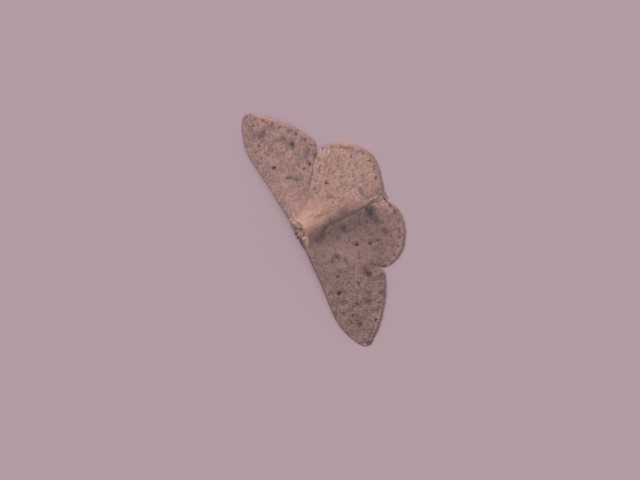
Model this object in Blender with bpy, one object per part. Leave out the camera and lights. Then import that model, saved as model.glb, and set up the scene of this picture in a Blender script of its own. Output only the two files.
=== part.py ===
"""A small wave moth at rest with its wings spread flat, life size, as 19 closed solids.

The scene is in metres, +Z up. The head points to -Y, the moth's left side is +X, and the soles of the
six feet lie at Z 0. The sizes below are in millimetres. Places along the body are measured backward
from the front of the head, and places on a wing, leg or feeler are (outward, backward, height).
"""

import math

import bmesh
import bpy
from mathutils import Matrix, Vector
from mathutils.geometry import delaunay_2d_cdt

MM = 0.001
WELD = 0.001 * MM                 # points closer than this are one

# Driving sizes, in millimetres.
WING_SPAN = 26.0                  # tip to tip, in the resting pose
HEAD_TO_MIDDLE = 4.94             # from the front of the head back to the middle of the whole outline
JOINT_GAP = 0.20                  # what the wings, legs and abdomen keep to the thorax
SMALL_GAP = 0.12                  # the same round the eyes, feelers and mouth
MEMBRANE = 0.50                   # thickness of a wing
FRINGE_SLOPE = 0.88               # how far in from its tips the fringed edge begins to thin
FRINGE_TIP = 0.20                 # thickness at the tips of the fringe
FRONT_RIM = 0.38                  # thickness along the front edge, which has no fringe
RIM_WIDTH = 0.35                  # how far in the front edge is rounded off
VEIN_RISE = 0.10                  # how far a vein stands above the membrane
VEIN_HALF_WIDTH = 0.17

# The body. Each rounded form has a centre and three half sizes.
THORAX = ((0.0, 1.74, 1.62), (1.06, 1.34, 0.97))
COLLAR = ((0.0, 0.94, 1.72), (1.12, 0.50, 0.62))
SHOULDER = ((0.88, 1.16, 1.96), (0.50, 0.88, 0.40))
SHOULDER_TILT = 16                # degrees that a shoulder flap slopes down outward
HEAD = ((0.0, 0.24, 1.42), (0.56, 0.42, 0.46))
EYE = ((0.46, 0.14, 1.40), (0.28, 0.28, 0.30))
ABDOMEN_FRONT, ABDOMEN_TIP = 2.55, 8.30
ABDOMEN_RADIUS, ABDOMEN_TIP_RADIUS = 0.60, 0.16
ABDOMEN_HEIGHT, ABDOMEN_DROOP = 1.74, 0.66
ABDOMEN_BEND = 0.34               # how far the tip leans to the moth's left
DROOP_POWER = 2.6                 # how late along the abdomen it sinks
TAPER_START, TAPER_POWER = 2.2, 0.7    # how late it tapers, and how blunt its end is
ABDOMEN_RINGS = 7
RING_STEP = 0.05                  # how much fuller a ring is at its rear than at its front

# How many segments the rounded forms have round them.
BODY_SEGMENTS, HEAD_SEGMENTS, EYE_SEGMENTS = 28, 24, 20

# The underside of a wing sinks from its root to its edge, faster near the root where the power is higher.
FOREWING_ROOT_REACH, FOREWING_ROOT_HEIGHT, FOREWING_TIP_HEIGHT = 1.0, 1.80, 0.10
HINDWING_ROOT, HINDWING_REACH = (0.95, 2.30), 7.6
HINDWING_ROOT_HEIGHT, HINDWING_EDGE_HEIGHT = 0.95, 0.06
FOREWING_SLOPE_POWER, HINDWING_SLOPE_POWER = 1.35, 1.6

# How closely a wing's points stand.
OUTLINE_STEP, VEIN_STEP, GRID_STEP = 0.42, 0.50, 0.72
VEIN_REACH = 0.40                 # a vein that ends this near another one is joined to it
VEIN_FOOT_ROOM = (0.15, 0.15, 0.16)    # what a point keeps to other points, to veins and to the outline
RIM_ROOM = (0.30, 0.28, 0.33)
GRID_ROOM = (0.40, 0.36, 0.49)

# Wing outlines: the front edge, then the fringed edge out to the tips of the fringe.
FOREWING_FRONT = [
    (0.55, 0.70), (1.50, 0.12), (2.90, -0.10), (5.15, -0.25), (7.50, -0.52), (8.90, -0.65),
    (10.20, -0.58), (11.40, -0.24), (12.45, 0.24),
]
FOREWING_EDGE = [
    (12.98, 0.90), (12.62, 2.25), (11.50, 3.50), (10.10, 4.67), (8.90, 5.42), (7.90, 5.86),
    (7.15, 5.92), (5.90, 5.02), (4.10, 3.62), (2.80, 2.58), (1.60, 2.20), (0.55, 2.05),
]
HINDWING_FRONT = [(0.60, 2.16), (1.80, 2.18), (3.30, 2.66), (4.80, 3.78), (6.00, 4.94)]
RIGHT_HINDWING_EDGE = [
    (6.58, 6.10), (6.62, 7.40), (6.00, 8.80), (4.90, 9.86), (3.70, 10.46), (2.40, 10.54),
    (1.00, 10.20), (-0.30, 9.82), (-1.06, 9.62), (-0.66, 8.90), (-0.45, 8.00), (-0.36, 6.90),
    (-0.05, 5.90), (0.40, 4.70), (0.62, 3.60), (0.60, 2.80),
]
LEFT_HINDWING_EDGE = [
    (6.94, 6.20), (7.02, 7.40), (6.36, 8.68), (5.10, 9.66), (3.80, 10.16), (2.70, 10.26),
    (1.84, 10.02), (1.34, 9.60), (0.94, 8.90), (0.74, 8.00), (0.66, 6.90), (0.60, 5.90),
    (0.56, 4.70), (0.62, 3.60), (0.62, 2.80),
]

# Main veins, from where each leaves the root or another vein to the edge.
FOREWING_VEINS = {
    "subcosta": [(1.60, 0.46), (3.60, 0.18), (6.00, -0.06), (8.20, -0.36)],
    "radius": [(1.60, 1.02), (3.80, 0.84), (6.30, 0.62), (8.40, 0.28), (10.20, -0.24)],
    "cubitus_1": [(1.60, 1.36), (3.60, 1.66), (6.10, 2.10), (8.40, 3.10), (10.64, 4.04)],
    "cell_end": [(6.30, 0.62), (6.62, 1.00), (6.58, 1.50), (6.10, 2.10)],
    "radius_4": [(7.40, 0.46), (9.00, 0.36), (10.50, 0.04), (11.50, -0.04)],
    "radius_5": [(8.20, 0.44), (9.60, 0.64), (11.20, 0.82), (12.64, 1.10)],
    "media_1": [(6.62, 1.00), (9.20, 1.36), (12.36, 2.12)],
    "media_2": [(6.58, 1.50), (9.00, 2.20), (11.54, 3.12)],
    "cubitus_2": [(6.10, 2.10), (8.00, 3.62), (9.50, 4.78)],
    "cubitus_3": [(4.50, 1.82), (6.60, 3.60), (8.40, 5.34)],
    "anal": [(1.90, 1.76), (3.70, 2.74), (5.60, 4.12), (7.20, 5.52)],
}
HINDWING_VEINS = {
    "radius": [(1.50, 2.70), (2.60, 3.50), (3.70, 4.40), (5.10, 5.80), (6.30, 7.10)],
    "cubitus_1": [(1.40, 3.00), (2.15, 4.05), (2.85, 5.20), (3.25, 7.60), (3.45, 9.90)],
    "cell_end": [(3.70, 4.40), (3.52, 4.84), (2.85, 5.20)],
    "media_1": [(3.70, 4.40), (4.70, 6.30), (5.75, 8.50)],
    "media_3": [(3.00, 6.00), (3.80, 7.60), (4.75, 9.46)],
    "cubitus_2": [(2.45, 4.55), (2.40, 7.00), (2.25, 9.80)],
    "anal": [(1.30, 3.40), (1.24, 5.20), (1.28, 7.40), (1.58, 9.40)],
}

# Legs and feelers as (outward, backward, height, radius), from inside the body to the tips.
LEGS = {
    "front": [
        (0.35, 1.05, 1.05, 0.27), (0.66, 0.86, 0.70, 0.28), (1.25, 0.80, 0.64, 0.26),
        (1.95, 0.85, 0.60, 0.25), (2.45, 0.88, 0.40, 0.24), (2.95, 0.84, 0.22, 0.22),
        (3.70, 0.66, 0.15, 0.19), (4.60, 0.44, 0.12, 0.15),
    ],
    "middle": [
        (0.45, 1.72, 1.00, 0.28), (0.90, 1.68, 0.70, 0.28), (1.60, 1.66, 0.72, 0.26),
        (2.35, 1.70, 0.64, 0.25), (3.05, 1.80, 0.42, 0.24), (3.60, 1.92, 0.22, 0.22),
        (4.40, 2.08, 0.15, 0.19), (5.30, 2.32, 0.12, 0.15),
    ],
    "hind": [
        (0.34, 2.12, 1.00, 0.27), (0.46, 2.42, 0.50, 0.27), (0.82, 3.05, 0.27, 0.25),
        (1.20, 3.80, 0.22, 0.24), (1.42, 4.40, 0.18, 0.21), (1.70, 5.05, 0.14, 0.18),
        (2.00, 5.75, 0.11, 0.14),
    ],
}
FEELER = [
    (0.18, 0.20, 1.62, 0.20), (0.40, -0.08, 1.78, 0.21), (0.85, -0.22, 1.62, 0.21),
    (1.30, -0.18, 1.32, 0.21), (1.90, 0.00, 1.10, 0.20), (2.60, 0.12, 0.96, 0.19),
    (3.60, 0.14, 0.83, 0.17), (4.70, 0.06, 0.70, 0.14), (5.70, -0.02, 0.58, 0.10),
    (6.50, -0.08, 0.50, 0.06),
]
PALP = [
    (0.20, 0.24, 1.14, 0.16), (0.22, 0.04, 1.00, 0.17), (0.22, -0.12, 0.99, 0.14),
    (0.21, -0.23, 1.06, 0.07),
]
TUBE_STEP, PALP_STEP = 0.25, 0.08      # between the rings of a leg or feeler, and of a palp

FINISHES = {
    "scales": ((0.56, 0.40, 0.32), 0.85),
    "thorax": ((0.66, 0.48, 0.36), 0.90),
    "face": ((0.07, 0.05, 0.04), 0.60),
    "eye": ((0.03, 0.025, 0.02), 0.30),
    "leg": ((0.55, 0.42, 0.33), 0.80),
}


def clear_scene():
    for thing in list(bpy.data.objects):
        bpy.data.objects.remove(thing)


def new_collection(name):
    made = bpy.data.collections.new(name)
    bpy.context.scene.collection.children.link(made)
    return made


def new_material(name, colour, roughness):
    made = bpy.data.materials.new(name)
    made.use_nodes = True
    shader = made.node_tree.nodes["Principled BSDF"]
    shader.inputs["Base Color"].default_value = (*colour, 1.0)
    shader.inputs["Roughness"].default_value = roughness
    shader.inputs["Metallic"].default_value = 0.0
    return made


def in_metres():
    """From the millimetres of the lists to the scene: the origin under the middle of the outline."""
    return Matrix.Scale(MM, 4) @ Matrix.Translation((0, -HEAD_TO_MIDDLE, 0))


def add_object(name, bm, home, finish):
    """Turns a bmesh drawn in millimetres into an object in metres."""
    bmesh.ops.recalc_face_normals(bm, faces=bm.faces[:])
    bmesh.ops.transform(bm, matrix=in_metres(), verts=bm.verts[:])
    mesh = bpy.data.meshes.new(name)
    bm.to_mesh(mesh)
    bm.free()
    mesh.shade_smooth()
    mesh.materials.append(finish)
    made = bpy.data.objects.new(name, mesh)
    home.objects.link(made)
    return made


def spline(points, step):
    """A smooth curve through the points, sampled about every step."""
    rows = [Vector(p) for p in points]
    rows = [2 * rows[0] - rows[1], *rows, 2 * rows[-1] - rows[-2]]
    made = []
    for a, b, c, d in zip(rows, rows[1:], rows[2:], rows[3:]):
        count = max(1, round((c - b).length / step))
        for i in range(count):
            t = i / count
            bow = (2 * a - 5 * b + 4 * c - d) * t * t + (3 * b - a - 3 * c + d) * t * t * t
            made.append(b + 0.5 * ((c - a) * t + bow))
    return [*made, rows[-2]]


def ease(t):
    t = min(1.0, max(0.0, t))
    return t * t * (3 - 2 * t)


def distance_to_line(p, line):
    """The shortest distance from a point to a chain of points."""
    best = WING_SPAN
    for a, b in zip(line, line[1:]):
        along = b - a
        share = min(1.0, max(0.0, (p - a).dot(along) / along.length_squared))
        best = min(best, (p - a - along * share).length)
    return best


def beside(line, offset):
    """The chain moved sideways by the offset."""
    made = []
    for i, p in enumerate(line):
        along = (line[min(i + 1, len(line) - 1)] - line[max(i - 1, 0)]).normalized()
        made.append(p + Vector((-along.y, along.x)) * offset)
    return made


def inside(p, loop):
    hits = 0
    for a, b in zip(loop, loop[1:] + loop[:1]):
        if (a.y > p.y) != (b.y > p.y) and p.x < a.x + (b.x - a.x) * (p.y - a.y) / (b.y - a.y):
            hits += 1
    return hits % 2 == 1


def forewing_height(p):
    share = min(1.0, max(0.0, (p.x - FOREWING_ROOT_REACH) / (WING_SPAN / 2 - FOREWING_ROOT_REACH)))
    rise = FOREWING_ROOT_HEIGHT - FOREWING_TIP_HEIGHT
    return FOREWING_TIP_HEIGHT + rise * (1 - share) ** FOREWING_SLOPE_POWER


def hindwing_height(p):
    share = min(1.0, (p - Vector(HINDWING_ROOT)).length / HINDWING_REACH)
    rise = HINDWING_ROOT_HEIGHT - HINDWING_EDGE_HEIGHT
    return HINDWING_EDGE_HEIGHT + rise * (1 - share) ** HINDWING_SLOPE_POWER


def joined_veins(vein_points):
    """Each vein as a smooth row, with its start moved onto the vein that it leaves."""
    rows = []
    for points in vein_points.values():
        row = spline(points, VEIN_STEP)
        for end in (0, -1):
            near = [p for other in rows for p in other if (p - row[end]).length < VEIN_REACH]
            if near:
                row[end] = min(near, key=lambda p: (p - row[end]).length).copy()
        rows.append(row)
    return rows


def wing_layout(outline, veins):
    """Points and edges of the flat wing: its outline, its veins, both feet of each vein, and a grid."""
    points = list(outline)
    edges = []
    for row in veins:
        start = len(points)
        points += row
        edges += [(start + i, start + i + 1) for i in range(len(row) - 1)]
    loop = outline + outline[:1]

    def add(p, room):
        to_points, to_veins, to_outline = room
        if not inside(p, outline) or distance_to_line(p, loop) < to_outline:
            return
        if min(distance_to_line(p, row) for row in veins) < to_veins:
            return
        if min((p - other).length for other in points) > to_points:
            points.append(p)

    for row in veins:
        for offset in (VEIN_HALF_WIDTH, -VEIN_HALF_WIDTH):
            for p in beside(row, offset):
                add(p, VEIN_FOOT_ROOM)
    for offset in (RIM_WIDTH, -RIM_WIDTH, FRINGE_SLOPE, -FRINGE_SLOPE):
        for p in beside(outline, offset):
            add(p, RIM_ROOM)
    count = int(WING_SPAN / 2 / GRID_STEP)
    for j in range(-2, count):
        for i in range(-2, count + 1):
            add(Vector(((i + 0.5 * (j % 2)) * GRID_STEP, j * GRID_STEP)), GRID_ROOM)
    return points, edges


def wing(name, front, fringed, vein_points, height, side, home, finish):
    """A membrane, thinner towards its fringe, with the veins raised in its upper face."""
    outline = spline(front + fringed + front[:1], OUTLINE_STEP)[:-1]
    front_row = spline(front, OUTLINE_STEP)
    fringe_row = spline(fringed, OUTLINE_STEP)
    veins = joined_veins(vein_points)
    points, edges = wing_layout(outline, veins)
    inside_only = 1
    flat = delaunay_2d_cdt(points, edges, [list(range(len(outline)))], inside_only, WELD / MM)
    bm = bmesh.new()
    lower = [bm.verts.new((p.x, p.y, height(p))) for p in flat[0]]
    for face in flat[2]:
        bm.faces.new([lower[i] for i in face])
    bmesh.ops.delete(bm, geom=[v for v in bm.verts if not v.link_faces], context="VERTS")
    grown = bmesh.ops.extrude_face_region(bm, geom=bm.faces[:], use_keep_orig=True)
    for vert in grown["geom"]:
        if isinstance(vert, bmesh.types.BMVert):
            p = vert.co.xy
            from_tips = ease(distance_to_line(p, fringe_row) / FRINGE_SLOPE)
            from_front = ease(distance_to_line(p, front_row) / RIM_WIDTH)
            thickness = min(
                FRINGE_TIP + (MEMBRANE - FRINGE_TIP) * from_tips,
                FRONT_RIM + (MEMBRANE - FRONT_RIM) * from_front,
            )
            nearest = min(distance_to_line(p, row) for row in veins)
            vert.co.z += thickness + VEIN_RISE * max(0.0, 1 - nearest / VEIN_HALF_WIDTH)
    bmesh.ops.triangulate(bm, faces=[f for f in bm.faces if len(f.verts) > 3])
    bmesh.ops.scale(bm, vec=(side, 1, 1), verts=bm.verts[:])
    return add_object(name, bm, home, finish)


def tube(name, path, side, home, finish, step=TUBE_STEP, roundness=2, flat_soles=False):
    """A tapering tube along (outward, backward, height, radius) points, with closed ends."""
    rows = spline(path, step)
    curve = bpy.data.curves.new(name, "CURVE")
    curve.dimensions = "3D"
    curve.bevel_depth = MM
    curve.bevel_resolution = roundness
    curve.use_fill_caps = True
    line = curve.splines.new("POLY")
    line.points.add(len(rows) - 1)
    for point, row in zip(line.points, rows):
        point.co = (*(in_metres() @ Vector((row.x * side, row.y, row.z))), 1)
        point.radius = row.w
    drawn = bpy.data.objects.new(name, curve)
    home.objects.link(drawn)
    mesh = bpy.data.meshes.new_from_object(drawn.evaluated_get(bpy.context.evaluated_depsgraph_get()))
    bpy.data.objects.remove(drawn)
    bm = bmesh.new()
    bm.from_mesh(mesh)
    bmesh.ops.remove_doubles(bm, verts=bm.verts[:], dist=WELD)
    if flat_soles:
        everything = bm.verts[:] + bm.edges[:] + bm.faces[:]
        bmesh.ops.bisect_plane(bm, geom=everything, plane_no=(0, 0, -1), clear_outer=True)
        bmesh.ops.holes_fill(bm, edges=[e for e in bm.edges if len(e.link_faces) == 1])
    bmesh.ops.recalc_face_normals(bm, faces=bm.faces[:])
    mesh = bpy.data.meshes.new(name)
    bm.to_mesh(mesh)
    bm.free()
    mesh.shade_smooth()
    mesh.materials.append(finish)
    made = bpy.data.objects.new(name, mesh)
    home.objects.link(made)
    return made


def ball(name, form, segments, home, finish, grow=0.0, side=1, tilt=0):
    """A rounded form, mirrored by its side, tilted down outward, and grown all round to cut room for it."""
    centre, half_sizes = form
    size = Matrix.Diagonal((*[r + grow for r in half_sizes], 1))
    turn = Matrix.Rotation(math.radians(tilt * side), 4, "Y")
    place = Matrix.Translation((centre[0] * side, centre[1], centre[2])) @ turn @ size
    bm = bmesh.new()
    rings = segments * 5 // 8
    bmesh.ops.create_uvsphere(bm, u_segments=segments, v_segments=rings, radius=1, matrix=place)
    return add_object(name, bm, home, finish)


def combine(target, others, operation):
    """Cuts or joins the target with the other forms and keeps its largest closed surface."""
    for other in others:
        step = target.modifiers.new(operation, "BOOLEAN")
        step.operation = operation
        step.object = other
    mesh = bpy.data.meshes.new_from_object(target.evaluated_get(bpy.context.evaluated_depsgraph_get()))
    target.modifiers.clear()
    bm = bmesh.new()
    bm.from_mesh(mesh)
    bmesh.ops.remove_doubles(bm, verts=bm.verts[:], dist=WELD)
    left = set(bm.faces)
    pieces = []
    while left:
        piece, reached = [], [left.pop()]
        while reached:
            face = reached.pop()
            piece.append(face)
            near = {other for edge in face.edges for other in edge.link_faces} & left
            left -= near
            reached += near
        pieces.append(piece)
    largest = max(pieces, key=len)
    bmesh.ops.delete(bm, geom=[f for piece in pieces if piece is not largest for f in piece], context="FACES")
    bm.to_mesh(target.data)
    bm.free()


def abdomen_path():
    """Rings that taper to the tip, each a little fuller at its rear, on a line that bends and droops."""
    rows = []
    for ring in range(ABDOMEN_RINGS):
        for within in (0.0, 0.5, 0.9):
            share = (ring + within) / ABDOMEN_RINGS
            fullness = (1 - share ** TAPER_START) ** TAPER_POWER
            radius = ABDOMEN_TIP_RADIUS + (ABDOMEN_RADIUS - ABDOMEN_TIP_RADIUS) * fullness
            radius -= RING_STEP * (1 - within) * (1 - 0.5 * share)
            back = ABDOMEN_FRONT + (ABDOMEN_TIP - ABDOMEN_FRONT) * share
            height = ABDOMEN_HEIGHT - ABDOMEN_DROOP * share ** DROOP_POWER
            rows.append((ABDOMEN_BEND * ease(share), back, height, radius))
    rows.append((ABDOMEN_BEND, ABDOMEN_TIP, ABDOMEN_HEIGHT - ABDOMEN_DROOP, ABDOMEN_TIP_RADIUS * 0.8))
    return rows


def build():
    clear_scene()
    moth = new_collection("moth")
    guides = new_collection("cutters")
    finish = {name: new_material(name, *look) for name, look in FINISHES.items()}
    sides = {"left": 1, "right": -1}
    edges = {"left": LEFT_HINDWING_EDGE, "right": RIGHT_HINDWING_EDGE}

    def thorax(name, home, grow=0.0):
        skin = finish["thorax"]
        body = ball(name, THORAX, BODY_SEGMENTS, home, skin, grow)
        lobes = [ball("collar", COLLAR, HEAD_SEGMENTS, guides, skin, grow)]
        for word, side in sides.items():
            flap = ball(f"shoulder_{word}", SHOULDER, EYE_SEGMENTS, guides, skin, grow, side, SHOULDER_TILT)
            lobes.append(flap)
        combine(body, lobes, "UNION")
        for lobe in lobes:
            bpy.data.objects.remove(lobe)
        return body

    thorax("thorax", moth)
    body_room = thorax("body_room", guides, JOINT_GAP)
    neck_room = thorax("neck_room", guides, SMALL_GAP)
    head_room = ball("head_room", HEAD, HEAD_SEGMENTS, guides, finish["face"], SMALL_GAP)
    eye_rooms = {
        word: ball(f"eye_room_{word}", EYE, EYE_SEGMENTS, guides, finish["eye"], SMALL_GAP, side)
        for word, side in sides.items()
    }
    head = ball("head", HEAD, HEAD_SEGMENTS, moth, finish["thorax"])
    combine(head, [neck_room, *eye_rooms.values()], "DIFFERENCE")
    abdomen = tube("abdomen", abdomen_path(), 1, moth, finish["scales"], roundness=6)
    combine(abdomen, [body_room], "DIFFERENCE")

    for word, side in sides.items():
        ball(f"eye_{word}", EYE, EYE_SEGMENTS, moth, finish["eye"], side=side)
        feeler = tube(f"antenna_{word}", FEELER, side, moth, finish["scales"])
        combine(feeler, [head_room, eye_rooms[word]], "DIFFERENCE")
        palp = tube(f"palp_{word}", PALP, side, moth, finish["face"], step=PALP_STEP)
        combine(palp, [head_room], "DIFFERENCE")
        forewing = wing(
            f"forewing_{word}", FOREWING_FRONT, FOREWING_EDGE, FOREWING_VEINS, forewing_height,
            side, moth, finish["scales"],
        )
        combine(forewing, [body_room], "DIFFERENCE")
        hindwing = wing(
            f"hindwing_{word}", HINDWING_FRONT, edges[word], HINDWING_VEINS, hindwing_height,
            side, moth, finish["scales"],
        )
        combine(hindwing, [body_room], "DIFFERENCE")
        for place, path in LEGS.items():
            leg = tube(f"leg_{place}_{word}", path, side, moth, finish["leg"], flat_soles=True)
            combine(leg, [body_room], "DIFFERENCE")

    for guide in guides.objects:
        guide.hide_render = True
        guide.display_type = "WIRE"


build()
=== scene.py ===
# A small wave moth at rest with its wings spread flat, dressed round its solids.
# Pieces are shaped in millimetres, measured backward from the front of the head, with +X the moth's
# left and +Z up, and are set into the frame, in metres, when they are finished.
import math

import bpy
import numpy as np
from mathutils import Matrix, Vector
from mathutils.bvhtree import BVHTree
from mathutils.kdtree import KDTree


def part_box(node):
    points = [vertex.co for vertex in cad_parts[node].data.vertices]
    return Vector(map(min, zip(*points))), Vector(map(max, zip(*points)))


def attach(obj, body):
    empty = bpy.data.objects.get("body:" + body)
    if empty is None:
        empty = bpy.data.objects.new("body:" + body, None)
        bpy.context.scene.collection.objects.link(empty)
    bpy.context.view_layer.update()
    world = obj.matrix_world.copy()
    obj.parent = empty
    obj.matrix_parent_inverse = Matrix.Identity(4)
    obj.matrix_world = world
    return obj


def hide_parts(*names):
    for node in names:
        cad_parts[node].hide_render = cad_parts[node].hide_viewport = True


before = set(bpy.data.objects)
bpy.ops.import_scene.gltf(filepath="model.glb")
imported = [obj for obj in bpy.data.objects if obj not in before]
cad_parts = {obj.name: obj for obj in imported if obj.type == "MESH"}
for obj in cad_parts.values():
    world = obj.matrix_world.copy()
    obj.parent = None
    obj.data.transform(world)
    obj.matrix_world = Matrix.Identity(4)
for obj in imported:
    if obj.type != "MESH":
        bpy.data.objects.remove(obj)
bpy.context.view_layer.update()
mm = 0.001
sides = {"left": 1, "right": -1}  # the moth's own left and right
headFront = -0.18                 # where the front of the head lies in the moth's own measures
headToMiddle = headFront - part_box("head")[0].y / mm
toFrame = Matrix.Scale(mm, 4) @ Matrix.Translation((0, -headToMiddle, 0))
print("frame loaded")


# Small tools

def activate(*objs):
    bpy.ops.object.select_all(action="DESELECT")
    for obj in objs:
        obj.select_set(True)
    bpy.context.view_layer.objects.active = objs[0]


def applyAll(obj):
    activate(obj)
    bpy.ops.object.transform_apply(location=True, rotation=True, scale=True)
    for modifier in list(obj.modifiers):
        bpy.ops.object.modifier_apply(modifier=modifier.name)


def joinInto(name, objs):
    activate(*objs)
    if len(objs) > 1:
        bpy.ops.object.join()
    made = bpy.context.active_object
    made.name = made.data.name = name
    bpy.ops.object.transform_apply(location=True, rotation=True, scale=True)
    return made


def settle(obj, material, nodes=()):  # from millimetres into the frame, on its body
    obj.data.transform(toFrame)
    obj.data.materials.clear()
    obj.data.materials.append(material)
    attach(obj, "root")
    if nodes:
        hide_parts(*nodes)


def pointsOf(obj):
    co = np.empty(len(obj.data.vertices) * 3, np.float32)
    obj.data.vertices.foreach_get("co", co)
    return co.reshape(-1, 3).astype(float)


def setPoints(obj, co):
    obj.data.vertices.foreach_set("co", co.astype(np.float32).ravel())
    obj.data.update()


def setAttribute(mesh, name, kind, values):
    made = mesh.attributes.new(name, kind, "POINT")
    made.data.foreach_set("color" if kind == "FLOAT_COLOR" else "value", values.astype(np.float32).ravel())


def ease(t):
    t = np.clip(t, 0.0, 1.0)
    return t * t * (3 - 2 * t)


def unit(v):
    return v / np.maximum(np.linalg.norm(v, axis=-1, keepdims=True), 1e-12)


def smoothRow(points, step):  # a smooth curve through the points, sampled about every step
    rows = [np.array(p, float) for p in points]
    rows = [2 * rows[0] - rows[1], *rows, 2 * rows[-1] - rows[-2]]
    made = []
    for a, b, c, d in zip(rows, rows[1:], rows[2:], rows[3:]):
        count = max(1, round(np.linalg.norm(c - b) / step))
        for t in np.arange(count) / count:
            bow = (2 * a - 5 * b + 4 * c - d) * t ** 2 + (3 * b - a - 3 * c + d) * t ** 3
            made.append(b + 0.5 * ((c - a) * t + bow))
    return np.array([*made, rows[-2]])


def along(row, t):  # points on a row at shares of its length
    steps = np.linalg.norm(np.diff(row, axis=0), axis=1)
    reach = np.concatenate([[0], np.cumsum(steps)])
    return np.stack([np.interp(t * reach[-1], reach, row[:, k]) for k in range(row.shape[1])], axis=-1)


def distanceTo(row, p):  # from many points to a chain
    best = np.full(len(p), 1e9)
    for a, b in zip(row[:-1], row[1:]):
        d = b - a
        t = np.clip(((p - a) @ d) / max(d @ d, 1e-12), 0, 1)
        best = np.minimum(best, np.linalg.norm(p - a - t[:, None] * d, axis=1))
    return best


def ripple(p, size, seed):  # a soft uneven value from -1 to 1 that varies over about this size
    draw = np.random.default_rng(seed)
    made = np.zeros(len(p))
    for _ in range(6):
        turn = draw.uniform(0, 2 * math.pi)
        wave = draw.uniform(0.7, 1.6) * 2 * math.pi / size
        made += np.sin(wave * (p[:, 0] * math.cos(turn) + p[:, 1] * math.sin(turn)) + draw.uniform(0, 7))
    return np.clip(made / 3, -1, 1)


def plainMarks(obj, marks=(0, 0, 0, 0), tone=1.0):
    count = len(obj.data.vertices)
    setAttribute(obj.data, "marks", "FLOAT_COLOR", np.tile(marks, (count, 1)))
    setAttribute(obj.data, "tone", "FLOAT", np.full(count, tone))


def lengthOf(row):
    return np.sum(np.linalg.norm(np.diff(row, axis=0), axis=1))


def headingAt(row, t, step):  # which way a row runs at shares of its length
    return unit(along(row, np.minimum(t + step, 1)) - along(row, np.maximum(t - step, 0)))


def aroundRow(ahead, turn, up):  # square to the row, turned about it by each angle
    across = unit(np.cross(ahead, up))
    return across * np.cos(turn)[:, None] + np.cross(across, ahead) * np.sin(turn)[:, None]


def toneOf(draw, count, spread=0.08, low=0.8, high=1.2, middle=1.0):  # each vane a little lighter or darker
    return np.clip(draw.normal(middle, spread, count), low, high)


def sized(length, width, thickness):  # the sizes of each vane
    return np.column_stack(np.broadcast_arrays(length, width, thickness))


def sameCurl(count, rise, droop):  # one rise and one droop for all vanes
    return np.tile([rise, droop], (count, 1))


def rod(name, rows, sidesRound=8):
    # a tube along (x, y, z, radius) rows, closed at both ends
    curve = bpy.data.curves.new(name, "CURVE")
    curve.dimensions = "3D"
    curve.bevel_depth = 1
    curve.bevel_resolution = max(0, sidesRound // 2 - 2)
    curve.use_fill_caps = True
    line = curve.splines.new("POLY")
    line.points.add(len(rows) - 1)
    for point, row in zip(line.points, rows):
        point.co = (*row[:3], 1)
        point.radius = row[3]
    made = bpy.data.objects.new(name, curve)
    bpy.context.scene.collection.objects.link(made)
    activate(made)
    bpy.ops.object.convert(target="MESH")
    made = bpy.context.active_object
    bpy.ops.object.mode_set(mode="EDIT")
    bpy.ops.mesh.select_all(action="SELECT")
    bpy.ops.mesh.remove_doubles(threshold=0.0005)
    bpy.ops.mesh.normals_make_consistent(inside=False)
    bpy.ops.object.mode_set(mode="OBJECT")
    made.data.shade_smooth()
    return made


# Materials

def newMaterial(name):
    made = bpy.data.materials.new(name)
    made.use_nodes = True
    return made, made.node_tree.nodes, made.node_tree.links, made.node_tree.nodes["Principled BSDF"]


def newGroup(name, inputs, outputs):
    made = bpy.data.node_groups.new(name, "ShaderNodeTree")
    for label, kind, value in inputs:
        socket = made.interface.new_socket(label, in_out="INPUT", socket_type=kind)
        socket.default_value = value
    for label, kind in outputs:
        made.interface.new_socket(label, in_out="OUTPUT", socket_type=kind)
    return made, made.nodes.new("NodeGroupInput"), made.nodes.new("NodeGroupOutput")


def buildMottle():
    # uneven tone: broad patches and fine grains over the surface, as a colour to multiply by
    group, start, end = newGroup(
        "mottle",
        [("Patch Size mm", "NodeSocketFloat", 1.2), ("Grain Size mm", "NodeSocketFloat", 0.09),
         ("Patch Amount", "NodeSocketFloat", 0.15), ("Grain Amount", "NodeSocketFloat", 0.25)],
        [("Tone", "NodeSocketColor"), ("Height", "NodeSocketFloat")],
    )
    nodes, links = group.nodes, group.links
    place = nodes.new("ShaderNodeTexCoord")
    layers = []
    for size, amount, detail in (("Patch Size mm", "Patch Amount", 3), ("Grain Size mm", "Grain Amount", 2)):
        density = nodes.new("ShaderNodeMath")
        density.operation = "DIVIDE"
        density.inputs[0].default_value = 1 / mm
        links.new(start.outputs[size], density.inputs[1])
        grain = nodes.new("ShaderNodeTexNoise")
        grain.inputs["Detail"].default_value = detail
        links.new(place.outputs["Object"], grain.inputs["Vector"])
        links.new(density.outputs[0], grain.inputs["Scale"])
        centred = nodes.new("ShaderNodeMath")
        centred.operation = "SUBTRACT"
        centred.inputs[1].default_value = 0.5
        links.new(grain.outputs["Fac"], centred.inputs[0])
        part = nodes.new("ShaderNodeMath")
        part.operation = "MULTIPLY"
        links.new(centred.outputs[0], part.inputs[0])
        links.new(start.outputs[amount], part.inputs[1])
        layers.append((grain, part))
    total = nodes.new("ShaderNodeMath")
    total.operation = "ADD"
    links.new(layers[0][1].outputs[0], total.inputs[0])
    links.new(layers[1][1].outputs[0], total.inputs[1])
    tone = nodes.new("ShaderNodeMath")
    tone.operation = "MULTIPLY_ADD"
    tone.inputs[1].default_value = 2.0
    tone.inputs[2].default_value = 1.0
    links.new(total.outputs[0], tone.inputs[0])
    links.new(tone.outputs[0], end.inputs["Tone"])
    links.new(layers[1][0].outputs["Fac"], end.inputs["Height"])
    return group


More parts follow.
